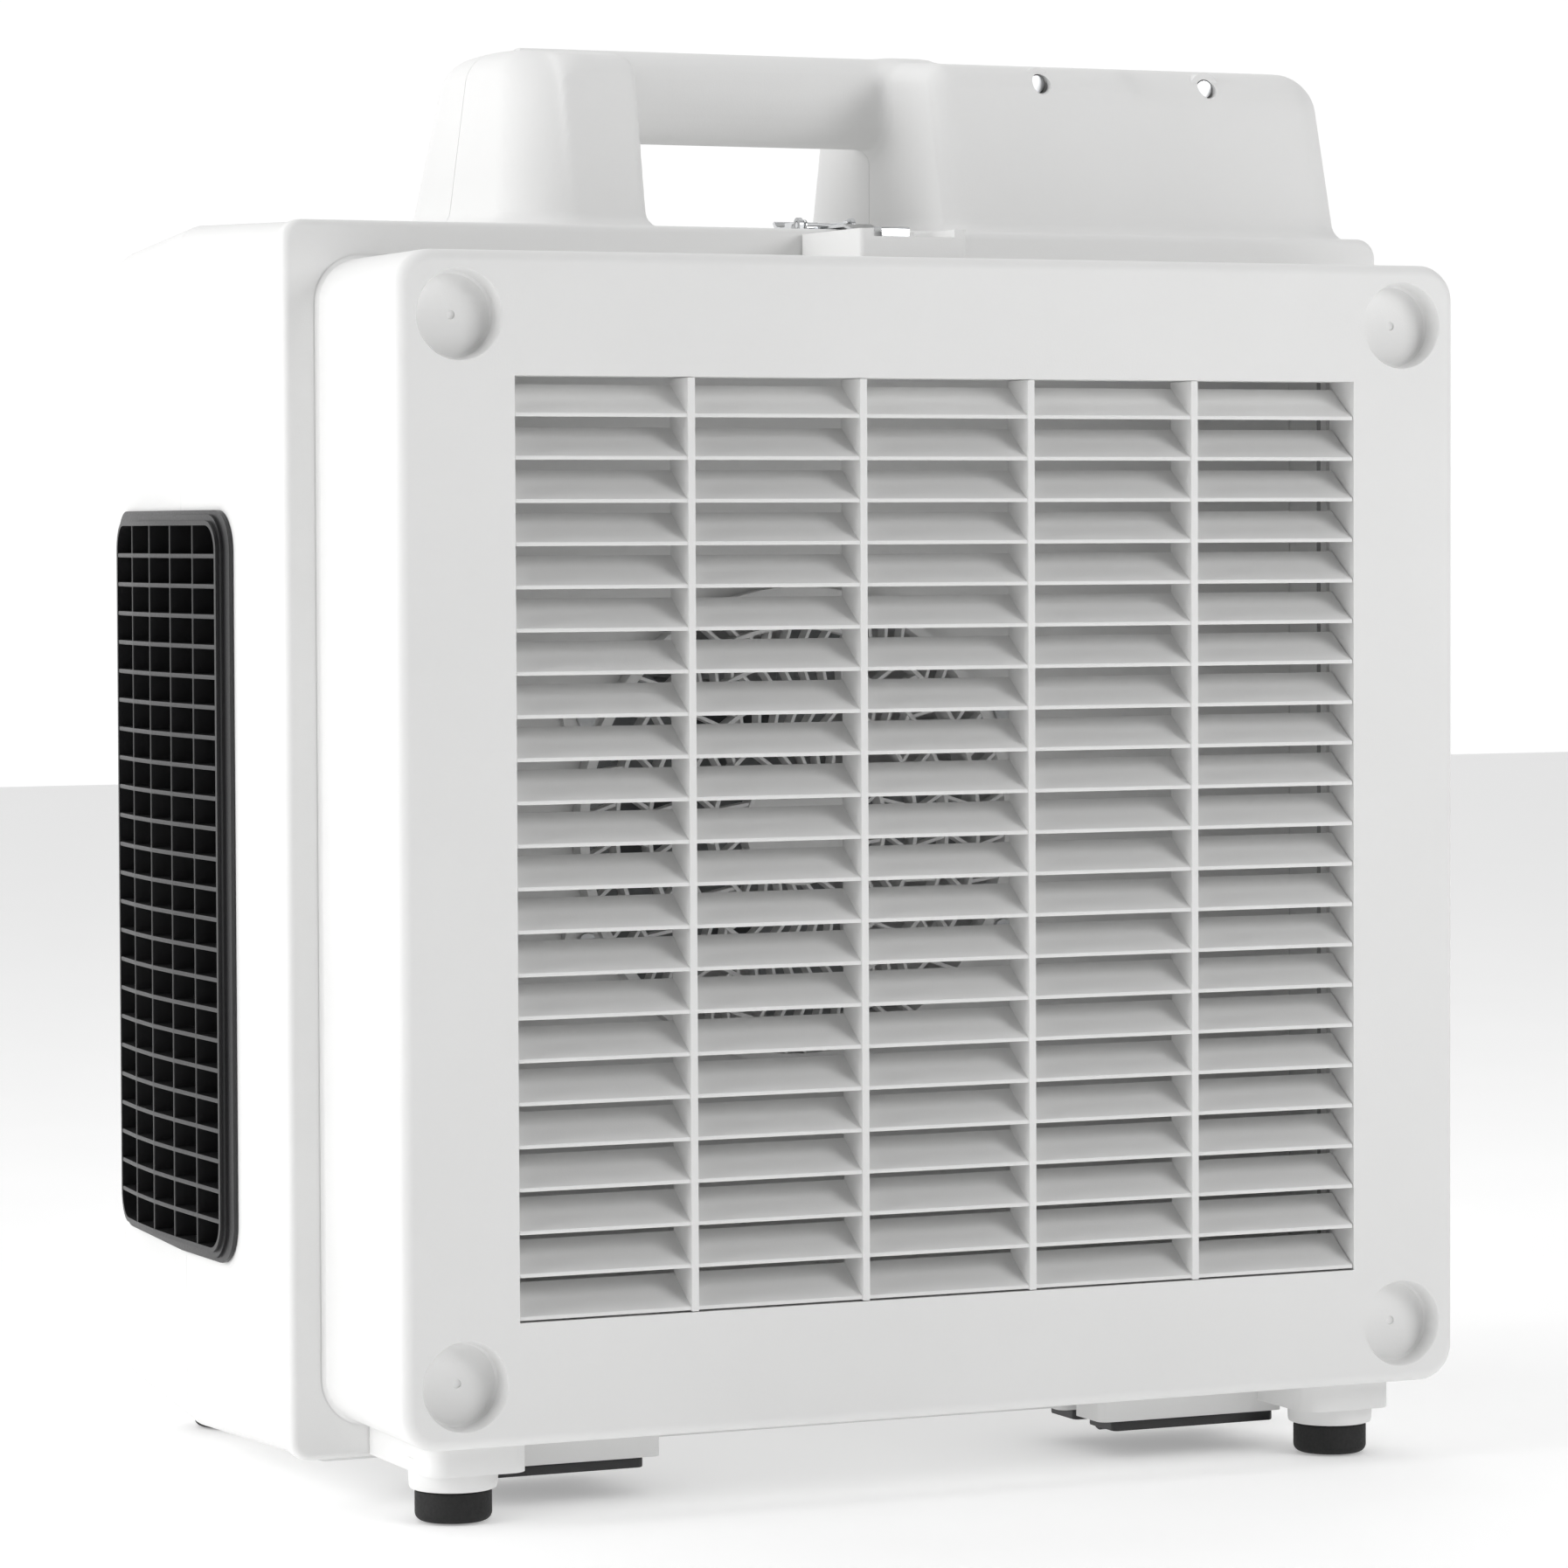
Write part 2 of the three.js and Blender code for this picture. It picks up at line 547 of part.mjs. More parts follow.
function impeller() {
  const hub = turned([0, FAN_Z],
    [[SHAFT_R + GAP, 154], [24, 154], [30, 158], [30, 180], [SHAFT_R + GAP, 180]], 16);
  const blades = [];
  const bladeCount = 5;
  const [inner, outer] = [28, 87];
  for (let i = 0; i < bladeCount; i += 1) {
    const geometry = new THREE.BoxGeometry(outer - inner, 3, 44, 2, 1, 1);
    const position = geometry.attributes.position;
    for (let k = 0; k < position.count; k += 1) {
      const radius = position.getX(k) + (outer + inner) / 2;
      const pitch = THREE.MathUtils.degToRad(38 - 20 * (radius - inner) / (outer - inner));
      const widening = 0.75 + 0.35 * (radius - inner) / (outer - inner);
      const [y, z] = [position.getY(k), position.getZ(k) * widening];
      const [c, t] = [Math.cos(pitch), Math.sin(pitch)];
      position.setXYZ(k, radius, y * c - z * t, y * t + z * c);
    }
    geometry.rotateY(i * 2 * Math.PI / bladeCount);
    geometry.translate(0, 168, FAN_Z);
    blades.push(toSolid(geometry));
  }
  const bore = rod("y", 140, 200, [0, FAN_Z], SHAFT_R + GAP, 16);
  return cut(union(hub, ...blades), bore);
}

function motorCase() {
  const body = turned([0, FAN_Z], [
    [SHAFT_R + 0.8, MOTOR_FRONT], [22, MOTOR_FRONT], [22, MOTOR_FRONT + 5], [50, MOTOR_FRONT + 8],
    [56, MOTOR_FRONT + 14], [56, MOTOR_BACK - 6], [50, MOTOR_BACK], [SHAFT_R + 0.8, MOTOR_BACK]], 20);
  const holes = MOTOR_SCREWS.map((place) => rod("y", MOTOR_BACK - 10, MOTOR_BACK + 2, place, 2.3, 8));
  return cut(body, ...holes);
}

function motorBracket() {
  const legDepth = [MOTOR_BACK + 2, CASE_BACK - WALL - GAP];
  const plate = roundedBlock("y", MOTOR_BACK + GAP, MOTOR_BACK + 3.3, [-68, 68], [FAN_Z - 68, FAN_Z + 68], 8);
  const legs = FOUR_CORNERS.map(([sx, sz]) => (
    block(span(sx * 54, sx * 66), legDepth, span(FAN_Z + sz * 54, FAN_Z + sz * 66))));
  const vent = rod("y", MOTOR_BACK - 2, MOTOR_BACK + 6, [0, FAN_Z], 20, 20);
  const holes = MOTOR_SCREWS.map((place) => rod("y", MOTOR_BACK - 2, MOTOR_BACK + 6, place, 2.4, 8));
  return cut(union(plate, ...legs), vent, ...holes);
}

add("impeller", "fan", impeller());
add("motor_shaft", "zinc", rod("y", 146, MOTOR_BACK - 4, [0, FAN_Z], SHAFT_R, 16));
const nutBore = rod("y", 140, 160, [0, FAN_Z], SHAFT_R + GAP, 16);
add("impeller_nut", "zinc", cut(rod("y", 148, 153.7, [0, FAN_Z], 9, 6), nutBore));
add("motor", "motor", motorCase());
add("motor_bracket", "zinc", motorBracket());
MOTOR_SCREWS.forEach((place, i) => {
  const head = MOTOR_BACK + 3.3 + GAP;
  add(`motor_screw_${i + 1}`, "zinc", rod("y", head, head + 3, place, 4, 8).add(
    rod("y", MOTOR_BACK - 8, head + 0.1, place, 2, 6)));
});

// The run capacitor lies across the back wall, above the motor, in a sprung clip.
const CAPACITOR = [305, 130];
add("run_capacitor", "motor", rod("x", -45, 45, CAPACITOR, 19, 20));
add("capacitor_clip", "zinc", cut(
  union(
    rod("x", -9, 9, CAPACITOR, 20.8, 20),
    block([-9, 9], [CAPACITOR[0], CASE_BACK - WALL - GAP], [124, 136])),
  rod("x", -12, 12, CAPACITOR, 19 + GAP, 20),
  block([-12, 12], [270, 298], [124, 136])));

// The motor's lead leaves the motor's flank and runs up the back wall to the terminal block.
function motorLead() {
  const path = new THREE.CatmullRomCurve3([
    [57.2, 240, FAN_Z + 4], [66, 240, FAN_Z + 5], [84, 262, 60], [92, 290, 110],
    [94, 310, 150], [94, 312, 176], [94, 312, 182.6],
  ].map(([x, y, z]) => new THREE.Vector3(x, y, z)));
  const section = new THREE.Shape();
  const sides = 8;
  for (let i = 0; i < sides; i += 1) {
    const angle = i * 2 * Math.PI / sides;
    section[i ? "lineTo" : "moveTo"](3.4 * Math.cos(angle), 3.4 * Math.sin(angle));
  }
  return toSolid(new THREE.ExtrudeGeometry(section, { steps: 14, extrudePath: path, bevelEnabled: false }));
}

add("motor_lead", "black", motorLead());
add("terminal_block", "black", block([76, 112], [304, 324], [183, 205]));

// ---------------------------------------------------------------- handle and control box
// Both towers stand on the casing roof: each is a stack of plan sections with a rounded top.
function tower({ footX, headX, leftR, rightR }, inset) {
  const lean = (z) => {
    const t = (z - 228) / (294 - 228);
    const mix = (a, b) => a + t * (b - a);
    return {
      at: z,
      x: [mix(footX[0], headX[0]), mix(footX[1], headX[1])],
      y: [mix(98.2, 114.3), mix(239.8, 223.7)],
    };
  };
  const section = (z, extra, at = z) => {
    const { x, y } = lean(z);
    const back = inset + extra;
    const shrunk = (radius) => Math.max(radius - back, 2);
    return {
      at,
      u: [x[0] + back, x[1] - back],
      v: [y[0] + back, y[1] - back],
      r: shrunk(rightR),
      rLow: shrunk(leftR),
    };
  };
  const base = inset > 0 ? 215 : 226;
  const crown = [[14, 0], [8, 1.2], [3, 6], [0, 16]].map(([below, extra]) => (
    section(HANDLE_TOP - below, extra, HANDLE_TOP - below - inset)));
  return loft("z", [section(base, 0), ...crown]);
}

const TOWERS = [
  { footX: [-134.1, -79.5], headX: [-125.2, -77.8], leftR: 26, rightR: 3 },
  { footX: [49.8, 229.4], headX: [49.8, 227.6], leftR: 8, rightR: 15 },
];
const HANDLE_SCREWS = [98, 174];
const HANDLE_SCREW_Z = 294.3;

function handleBody(inset) {
  const towers = TOWERS.map((shape) => tower(shape, inset));
  const grip = rod("x", -105, 75, [HANDLE_SPLIT, GRIP_Z], GRIP_R - inset, 20);
  return union(...towers, grip);
}

// The casing's outline grown by the clearance, which trims the handle's feet to the roof.
const roof = loft("y", [caseSection(86, -GAP), caseSection(PARTING, -GAP), caseSection(319, -GAP)]);
const handleOuter = handleBody(0);
const handleInner = handleBody(WALL);

// ---------------------------------------------------------------- control panel frame
// The controls sit on the box's leaning back face; in this frame local +Y points out of that face.
const PANEL_LEAN = Math.atan((239.8 - 223.7) / (294 - 228));
const PANEL_Z = 262;
const PANEL_Y = 239.8 - (PANEL_Z - 228) * Math.tan(PANEL_LEAN);
const panel = new THREE.Group();
panel.position.set(0, PANEL_Y, PANEL_Z);
panel.rotation.x = PANEL_LEAN;
casing.add(panel);

const KNOB = [186, 0];
const ROCKER = [140, 0];
const BREAKER = [105, 8];
const GLAND = [76, -6];

function onPanel(solid) {
  const geometry = toGeometry(solid);
  panel.updateMatrix();
  geometry.applyMatrix4(panel.matrix);
  return toSolid(geometry);
}

function panelCuts() {
  return onPanel(union(
    rod("y", -12, 6, KNOB, 5.5, 16),
    block([ROCKER[0] - 11.2, ROCKER[0] + 11.2], [-12, 6], [-14.2, 14.2]),
    rod("y", -12, 6, BREAKER, 6.4, 16),
    rod("y", -12, 6, GLAND, 7.4, 16)));
}

function handleHalf(front) {
  const keep = front
    ? block([-300, 300], [0, HANDLE_SPLIT - GAP / 2], [150, 400])
    : block([-300, 300], [HANDLE_SPLIT + GAP / 2, 400], [150, 400]);
  const bosses = HANDLE_SCREWS.map((x) => (front
    ? rod("y", 112, HANDLE_SPLIT - 1, [x, HANDLE_SCREW_Z], 6.6, 16)
    : rod("y", HANDLE_SPLIT + 1, 224, [x, HANDLE_SCREW_Z], 6.6, 16)).intersect(handleOuter));
  const bores = HANDLE_SCREWS.flatMap((x) => (front
    ? [rod("y", 100, 124, [x, HANDLE_SCREW_Z], 4, 16), rod("y", 120, 180, [x, HANDLE_SCREW_Z], 2.2, 12)]
    : [rod("y", 170, 200, [x, HANDLE_SCREW_Z], 2.1, 12)]));
  const shell = cut(handleOuter, handleInner).intersect(keep);
  const half = cut(union(shell, ...bosses), roof, ...bores);
  return front ? half : cut(half, panelCuts());
}

add("handle_front_shell", "shell", handleHalf(true));
add("handle_rear_shell", "shell", handleHalf(false));
HANDLE_SCREWS.forEach((x, i) => {
  const place = [x, HANDLE_SCREW_Z];
  const head = rod("y", 119.5, 123.7, place, 3.6, 14);
  add(`handle_screw_${i + 1}`, "zinc", head.add(rod("y", 123.6, 196, place, 1.8, 12)));
});

// ---------------------------------------------------------------- controls
function speedSwitch() {
  const [x, z] = KNOB;
  return union(
    block([x - 15, x + 15], [-26, -WALL - 1], [z - 15, z + 15]),
    rod("y", -5, 0.6, KNOB, 5, 16),
    rod("y", 0, 13, KNOB, 2.9, 16));
}

function speedKnob() {
  const skirt = rod("y", 1, 4, KNOB, 18, 28);
  const cap = rod("y", 3.9, 17, KNOB, 15.5, 28, 14.3);
  const pointer = block([KNOB[0] - 1.1, KNOB[0] + 1.1], [10, 18], [0, 14.5]);
  return cut(union(skirt, cap, pointer), rod("y", 0, 13.6, KNOB, 2.9 + GAP, 16));
}

function rockerFrame() {
  const [x, z] = ROCKER;
  const bezel = roundedBlock("y", GAP, 2.3, [x - 13, x + 13], [z - 16.5, z + 16.5], 2);
  const body = block([x - 10.8, x + 10.8], [-18, 1], [z - 13.8, z + 13.8]);
  const well = block([x - 8.8, x + 8.8], [-15, 5], [z - 12, z + 12]);
  return cut(bezel.add(body), well);
}

const ROCKER_TILT = THREE.MathUtils.degToRad(8);
const ROCKER_PIVOT_Y = -2;

function powerRocker() {
  const geometry = toGeometry(prismX(
    [[0, -5], [3, -11], [5.2, -11], [3.6, 0], [5.2, 11], [3, 11], [0, 5], [-4, 3], [-4, -3]],
    -8.4, 8.4));
  geometry.rotateX(ROCKER_TILT);
  geometry.translate(ROCKER[0], ROCKER_PIVOT_Y, ROCKER[1]);
  return toSolid(geometry);
}

function breakerBody() {
  const [x, z] = BREAKER;
  const body = union(
    block([x - 8, x + 8], [-30, -WALL - 1], [z - 12, z + 8]),
    rod("y", -5, 5, BREAKER, 6, 16),
    rod("y", GAP, 3, BREAKER, 9, 6));
  return cut(body, rod("y", -9, 8, BREAKER, 3.4, 14));
}

function cordGland() {
  return cut(
    union(
      rod("y", -9, 3, GLAND, 7, 16),
      rod("y", GAP, 6, GLAND, 11, 6),
      rod("y", 5.9, 17, GLAND, 9.2, 18, 6.4),
      rod("y", -9, -WALL - 1, GLAND, 9.5, 6)),
    rod("y", -12, 20, GLAND, 4, 14));
}

add("speed_switch", "motor", speedSwitch(), panel);
add("speed_knob", "black", speedKnob(), panel);
add("rocker_frame", "black", rockerFrame(), panel);
add("power_rocker", "red", powerRocker(), panel);
add("breaker_body", "black", breakerBody(), panel);
add("breaker_button", "black", rod("y", -5, 8, BREAKER, 3, 14), panel);
add("cord_gland", "black", cordGland(), panel);

// ---------------------------------------------------------------- placement
const group = new THREE.Group();
casing.position.set(0, -DEPTH / 2, -FLOOR_Z);
group.add(casing);

export default group;
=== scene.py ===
import json
import math

import bmesh
import bpy
import numpy as np
from mathutils import Matrix, Vector


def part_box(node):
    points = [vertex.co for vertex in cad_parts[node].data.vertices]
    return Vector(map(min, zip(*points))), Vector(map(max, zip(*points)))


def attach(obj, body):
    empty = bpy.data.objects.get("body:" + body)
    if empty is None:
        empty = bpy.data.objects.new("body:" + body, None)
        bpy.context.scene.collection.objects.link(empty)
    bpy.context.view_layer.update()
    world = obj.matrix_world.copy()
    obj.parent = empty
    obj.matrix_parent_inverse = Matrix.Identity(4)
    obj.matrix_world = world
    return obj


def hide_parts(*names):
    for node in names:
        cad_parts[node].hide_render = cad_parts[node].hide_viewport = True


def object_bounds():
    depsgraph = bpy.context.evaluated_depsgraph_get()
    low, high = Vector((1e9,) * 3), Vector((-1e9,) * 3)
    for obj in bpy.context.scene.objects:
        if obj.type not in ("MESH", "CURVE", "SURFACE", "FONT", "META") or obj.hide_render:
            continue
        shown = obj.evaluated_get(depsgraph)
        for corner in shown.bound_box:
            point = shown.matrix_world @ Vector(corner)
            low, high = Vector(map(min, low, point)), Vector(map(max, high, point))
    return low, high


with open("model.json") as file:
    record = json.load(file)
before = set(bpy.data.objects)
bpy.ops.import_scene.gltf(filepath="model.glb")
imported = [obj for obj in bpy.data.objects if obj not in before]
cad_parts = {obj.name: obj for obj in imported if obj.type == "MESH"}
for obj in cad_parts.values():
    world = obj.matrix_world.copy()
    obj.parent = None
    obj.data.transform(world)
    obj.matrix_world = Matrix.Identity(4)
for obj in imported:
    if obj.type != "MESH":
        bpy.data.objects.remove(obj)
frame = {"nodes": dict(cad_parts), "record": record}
cad_low, cad_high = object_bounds()

# Every shape below is drawn in millimetres in the casing frame: X to the right, Y backwards from the
# door's front face, Z up from the middle of the intake. These two values place that frame in the row's.
MM = 0.001
CASE_FRONT = cad_low.y
INTAKE_HEIGHT = 0.250

# ------------ driving dimensions, millimetres
GAP = 0.3
WALL = 3.0

DOOR_HALF_X = 220.4
DOOR_HALF_Z = 218.5
DOOR_BACK = 81.0
DOOR_EDGE = 83.7
LAND_HALF = 206.0
APERTURE_X = 175.0
APERTURE_Z = 173.0
SLATS = 22
SLAT_PITCH = 15.73
SLAT_RISE = 10.0
SLAT_TOP_MARGIN = 15.0
RIB_PITCH = 70.0
CUP_X = 196.4
CUP_Z = 195.0
CUP_R = 16.2
CUP_DEPTH = 9.0

FLANGE = (84.0, 92.0)
FLANGE_HALF = 234.0
FLANGE_TOP = 233.0
FLANGE_BOTTOM = -232.3
PARTING = 214.5
CASE_BACK = 332.0
FAN_Z = -1.0
BULKHEAD_Y = 143.3

FOOT_X = 186.4
FOOT_TOP = -238.1
FRONT_FOOT_Y = 39.3
REAR_FOOT_Y = 294.0
BOSS_R = 16.5

HANDLE_SPLIT = 175.0
GRIP_Z = 288.6
GRIP_R = 18.2
GRIP_X = (-104.0, 72.0)

RIM_Y = (162.8, 297.3)
RIM_Z = (-163.0, 120.9)
RIM_R = 12.0

SIDES = (("left", -1), ("right", 1))
CORNERS = [(sx, sz) for sx in (-1, 1) for sz in (-1, 1)]

CORNER_STEPS = 10      # facets in a quarter round of a lofted shell
ROUND_SIDES = 64       # facets around a turned piece


def casing(x, y, z):
    """A point of the casing frame, in metres in the row frame."""
    return Vector((x * MM, CASE_FRONT + y * MM, INTAKE_HEIGHT + z * MM))


def ordered(a, b):
    return (min(a, b), max(a, b))


def both(half):
    return (-half, half)


# ------------ mesh tools
def make(name, points, faces):
    """A closed mesh object from casing-frame points, with its faces turned outwards."""
    mesh = bpy.data.meshes.new(name)
    mesh.from_pydata([casing(*p) for p in points], [], faces)
    obj = bpy.data.objects.new(name, mesh)
    bpy.context.scene.collection.objects.link(obj)
    edit = bmesh.new()
    edit.from_mesh(mesh)
    bmesh.ops.remove_doubles(edit, verts=edit.verts, dist=1e-7)
    bmesh.ops.recalc_face_normals(edit, faces=edit.faces)
    edit.to_mesh(mesh)
    edit.free()
    return obj


def across(axis, along, u, v):
    if axis == "x":
        return (along, u, v)
    if axis == "y":
        return (u, along, v)
    return (u, v, along)


def rounded_ring(u, v, r, steps=CORNER_STEPS):
    """The points of a rounded rectangle, counter-clockwise from its right side's upper corner."""
    centres = [(u[1] - r, v[1] - r), (u[0] + r, v[1] - r), (u[0] + r, v[0] + r), (u[1] - r, v[0] + r)]
    points = []
    for quarter, (cu, cv) in enumerate(centres):
        for step in range(steps + 1):
            angle = (quarter + step / steps) * math.pi / 2
            points.append((cu + r * math.cos(angle), cv + r * math.sin(angle)))
    return points


def skin(name, rings):
    """A closed body through rings of the same number of points, capped at both ends."""
    count = len(rings[0])
    faces = []
    for s in range(len(rings) - 1):
        for i in range(count):
            a, b = s * count + i, s * count + (i + 1) % count
            faces.append((a, b, b + count, a + count))
    faces.append(tuple(reversed(range(count))))
    faces.append(tuple(range((len(rings) - 1) * count, len(rings) * count)))
    return make(name, [p for ring in rings for p in ring], faces)


def loft(name, axis, sections, steps=CORNER_STEPS):
    """A body through rounded rectangles, each (place along the axis, u span, v span, corner radius)."""
    return skin(name, [[across(axis, at, u, v) for u, v in rounded_ring(us, vs, r, steps)]
                       for at, us, vs, r in sections])


def grown(section, amount, at=None, r=None):
    place, (u0, u1), (v0, v1), radius = section
    return (place if at is None else at, (u0 - amount, u1 + amount), (v0 - amount, v1 + amount),
            max(0.5, radius + amount) if r is None else r)


def rounded_end(section, radius, towards, steps=5):
    """Sections that round a loft's end off by a quarter circle, from the full section to its end face."""
    sections = []
    for step in range(steps + 1):
        angle = step / steps * math.pi / 2
        inset = radius * (1 - math.cos(angle))
        sections.append(grown(section, -inset, section[0] + towards * radius * math.sin(angle)))
    return sections


def block(name, x, y, z):
    return loft(name, "z", [(z[0], x, y, 1e-4), (z[1], x, y, 1e-4)], 1)


def slab(name, axis, span, u, v, r):
    return loft(name, axis, [(span[0], u, v, r), (span[1], u, v, r)])


def turned(name, axis, centre, profile, sides=ROUND_SIDES):
    """A turned body from a profile of (radius, place) that ends on the axis or closes on itself."""
    points, faces = [], []
    closed = profile[0][0] > 0
    count = len(profile)
    for radius, place in profile:
        for i in range(sides if radius > 0 else 1):
            angle = 2 * math.pi * i / sides
            points.append(across(axis, place, centre[0] + radius * math.cos(angle),
                                 centre[1] + radius * math.sin(angle)))
    starts = np.cumsum([0] + [sides if radius > 0 else 1 for radius, _ in profile])
    for s in range(count if closed else count - 1):
        a0, b0 = int(starts[s]), int(starts[(s + 1) % count])
        a_ring, b_ring = profile[s][0] > 0, profile[(s + 1) % count][0] > 0
        for i in range(sides):
            j = (i + 1) % sides
            corners = [a0 + (i if a_ring else 0), a0 + (j if a_ring else 0),
                       b0 + (j if b_ring else 0), b0 + (i if b_ring else 0)]
            faces.append(tuple(dict.fromkeys(corners)))
    return make(name, points, faces)


def rod(name, axis, span, centre, radius, sides=ROUND_SIDES, end_radius=None):
    end = radius if end_radius is None else end_radius
    return turned(name, axis, centre, [(0, span[0]), (radius, span[0]), (end, span[1]), (0, span[1])], sides)


def prism(name, outline, x):
    """A prism along X of an outline in Y and Z."""
    count = len(outline)
    points = [(x[0], y, z) for y, z in outline] + [(x[1], y, z) for y, z in outline]
    faces = [(i, (i + 1) % count, (i + 1) % count + count, i + count) for i in range(count)]
    faces += [tuple(reversed(range(count))), tuple(range(count, 2 * count))]
    return make(name, points, faces)


def settle(obj):
    """Applies an object's modifiers to its mesh."""
    graph = bpy.context.evaluated_depsgraph_get()
    mesh = bpy.data.meshes.new_from_object(obj.evaluated_get(graph))
    obj.modifiers.clear()
    obj.data = mesh
    return obj


def join(objects):
    """One object that holds several separate closed bodies."""
    edit = bmesh.new()
    for obj in objects:
        edit.from_mesh(obj.data)
    first = objects[0]
    edit.to_mesh(first.data)
    edit.free()
    for obj in objects[1:]:
        bpy.data.objects.remove(obj)
    return first


def combine(target, tools, operation):
    for tool in tools:
        modifier = target.modifiers.new("combine", "BOOLEAN")
        modifier.operation = operation
        modifier.solver = "MANIFOLD"
        modifier.object = tool
        settle(target)
        bpy.data.objects.remove(tool)
    return target


def unite(target, *tools):
    return combine(target, tools, "UNION")


def cut(target, *tools):
    return combine(target, tools, "DIFFERENCE")


def keep(target, *tools):
    return combine(target, tools, "INTERSECT")


def soften(obj, width, segments=2, angle=30, clean=True):
    """Rounds every edge sharper than the angle, inside and outside corners alike."""
    edit = bmesh.new()
    edit.from_mesh(obj.data)
    bmesh.ops.remove_doubles(edit, verts=edit.verts, dist=2e-6)
    if clean:
        bmesh.ops.dissolve_limit(edit, angle_limit=math.radians(0.4), verts=edit.verts, edges=edit.edges)
    edit.to_mesh(obj.data)
    edit.free()
    modifier = obj.modifiers.new("round", "BEVEL")
    modifier.width = width * MM
    modifier.segments = segments
    modifier.limit_method = "ANGLE"
    modifier.angle_limit = math.radians(angle)
    modifier.use_clamp_overlap = True
    modifier.miter_outer = "MITER_ARC"
    return settle(obj)


def shade(obj, angle=38):
    for polygon in obj.data.polygons:
        polygon.use_smooth = True
    obj.data.set_sharp_from_angle(angle=math.radians(angle))
    modifier = obj.modifiers.new("even", "WEIGHTED_NORMAL")
    modifier.keep_sharp = True
    modifier.weight = 80
    return settle(obj)


def fit(obj, body, slot, *nodes, smooth=38):
    """Finishes a piece: shading, material, the body it rides on and the CAD nodes that it stands for."""
    shade(obj, smooth)
    obj.data.materials.clear()
    obj.data.materials.append(MATERIALS[slot])
    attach(obj, body)
    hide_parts(*nodes)
    return obj


# ------------ materials
def node_graph(name):
    material = bpy.data.materials.new(name)
    material.use_nodes = True
    tree = material.node_tree
    shader = next(n for n in tree.nodes if n.type == "BSDF_PRINCIPLED")
    return material, tree, shader


def noise(tree, scale, detail, roughness=0.5, stretch=(1.0, 1.0, 1.0)):
    where = tree.nodes.new("ShaderNodeTexCoord")
    pulled = tree.nodes.new("ShaderNodeMapping")
    pulled.inputs["Scale"].default_value = stretch
    texture = tree.nodes.new("ShaderNodeTexNoise")
    texture.inputs["Scale"].default_value = scale
    texture.inputs["Detail"].default_value = detail
    texture.inputs["Roughness"].default_value = roughness
    tree.links.new(where.outputs["Object"], pulled.inputs["Vector"])
    tree.links.new(pulled.outputs["Vector"], texture.inputs["Vector"])
    return texture.outputs["Fac"]


def ramp(tree, source, low, high):
    blend = tree.nodes.new("ShaderNodeValToRGB")
    blend.color_ramp.elements[0].position = 0.3
    blend.color_ramp.elements[1].position = 0.7
    blend.color_ramp.elements[0].color = low
    blend.color_ramp.elements[1].color = high
    tree.links.new(source, blend.inputs["Fac"])
    return blend


def spread(tree, source, low, high):
    mapped = tree.nodes.new("ShaderNodeMapRange")
    mapped.inputs["From Min"].default_value = 0.3
    mapped.inputs["From Max"].default_value = 0.7
    mapped.inputs["To Min"].default_value = low
    mapped.inputs["To Max"].default_value = high
    tree.links.new(source, mapped.inputs["Value"])
    return mapped


def bump(tree, shader, source, depth, strength=1.0):
    raised = tree.nodes.new("ShaderNodeBump")
    raised.inputs["Distance"].default_value = depth * MM
    raised.inputs["Strength"].default_value = strength
    tree.links.new(source, raised.inputs["Height"])
    tree.links.new(raised.outputs["Normal"], shader.inputs["Normal"])


def tint(tree, shader, source, low, high):
    colours = ramp(tree, source, (*low, 1), (*high, 1))
    tree.links.new(colours.outputs["Color"], shader.inputs["Base Color"])


def gloss(tree, shader, source, rough):
    mapped = spread(tree, source, rough[0], rough[1])
    tree.links.new(mapped.outputs["Result"], shader.inputs["Roughness"])


def grained(name, low, high, rough, grain, depth, specular=0.5, coat=0.0):
    """A moulded or painted surface: slight mottling, uneven gloss and a fine all-over grain."""
    material, tree, shader = node_graph(name)
    tint(tree, shader, noise(tree, 9.0, 3.0), low, high)
    fine = noise(tree, grain, 6.0, 0.6)
    gloss(tree, shader, fine, rough)
    bump(tree, shader, fine, depth)
    shader.inputs["Specular IOR Level"].default_value = specular
    shader.inputs["Coat Weight"].default_value = coat
    return material


def drawn_metal(name, low, high, rough, stretch):
    """Bright metal with the fine straight lines that rolling or drawing leaves."""
    material, tree, shader = node_graph(name)
    lines = noise(tree, 40.0, 5.0, stretch=stretch)
    tint(tree, shader, lines, low, high)
    gloss(tree, shader, lines, rough)
    bump(tree, shader, lines, 0.02, 0.4)
    shader.inputs["Metallic"].default_value = 1.0
    return material


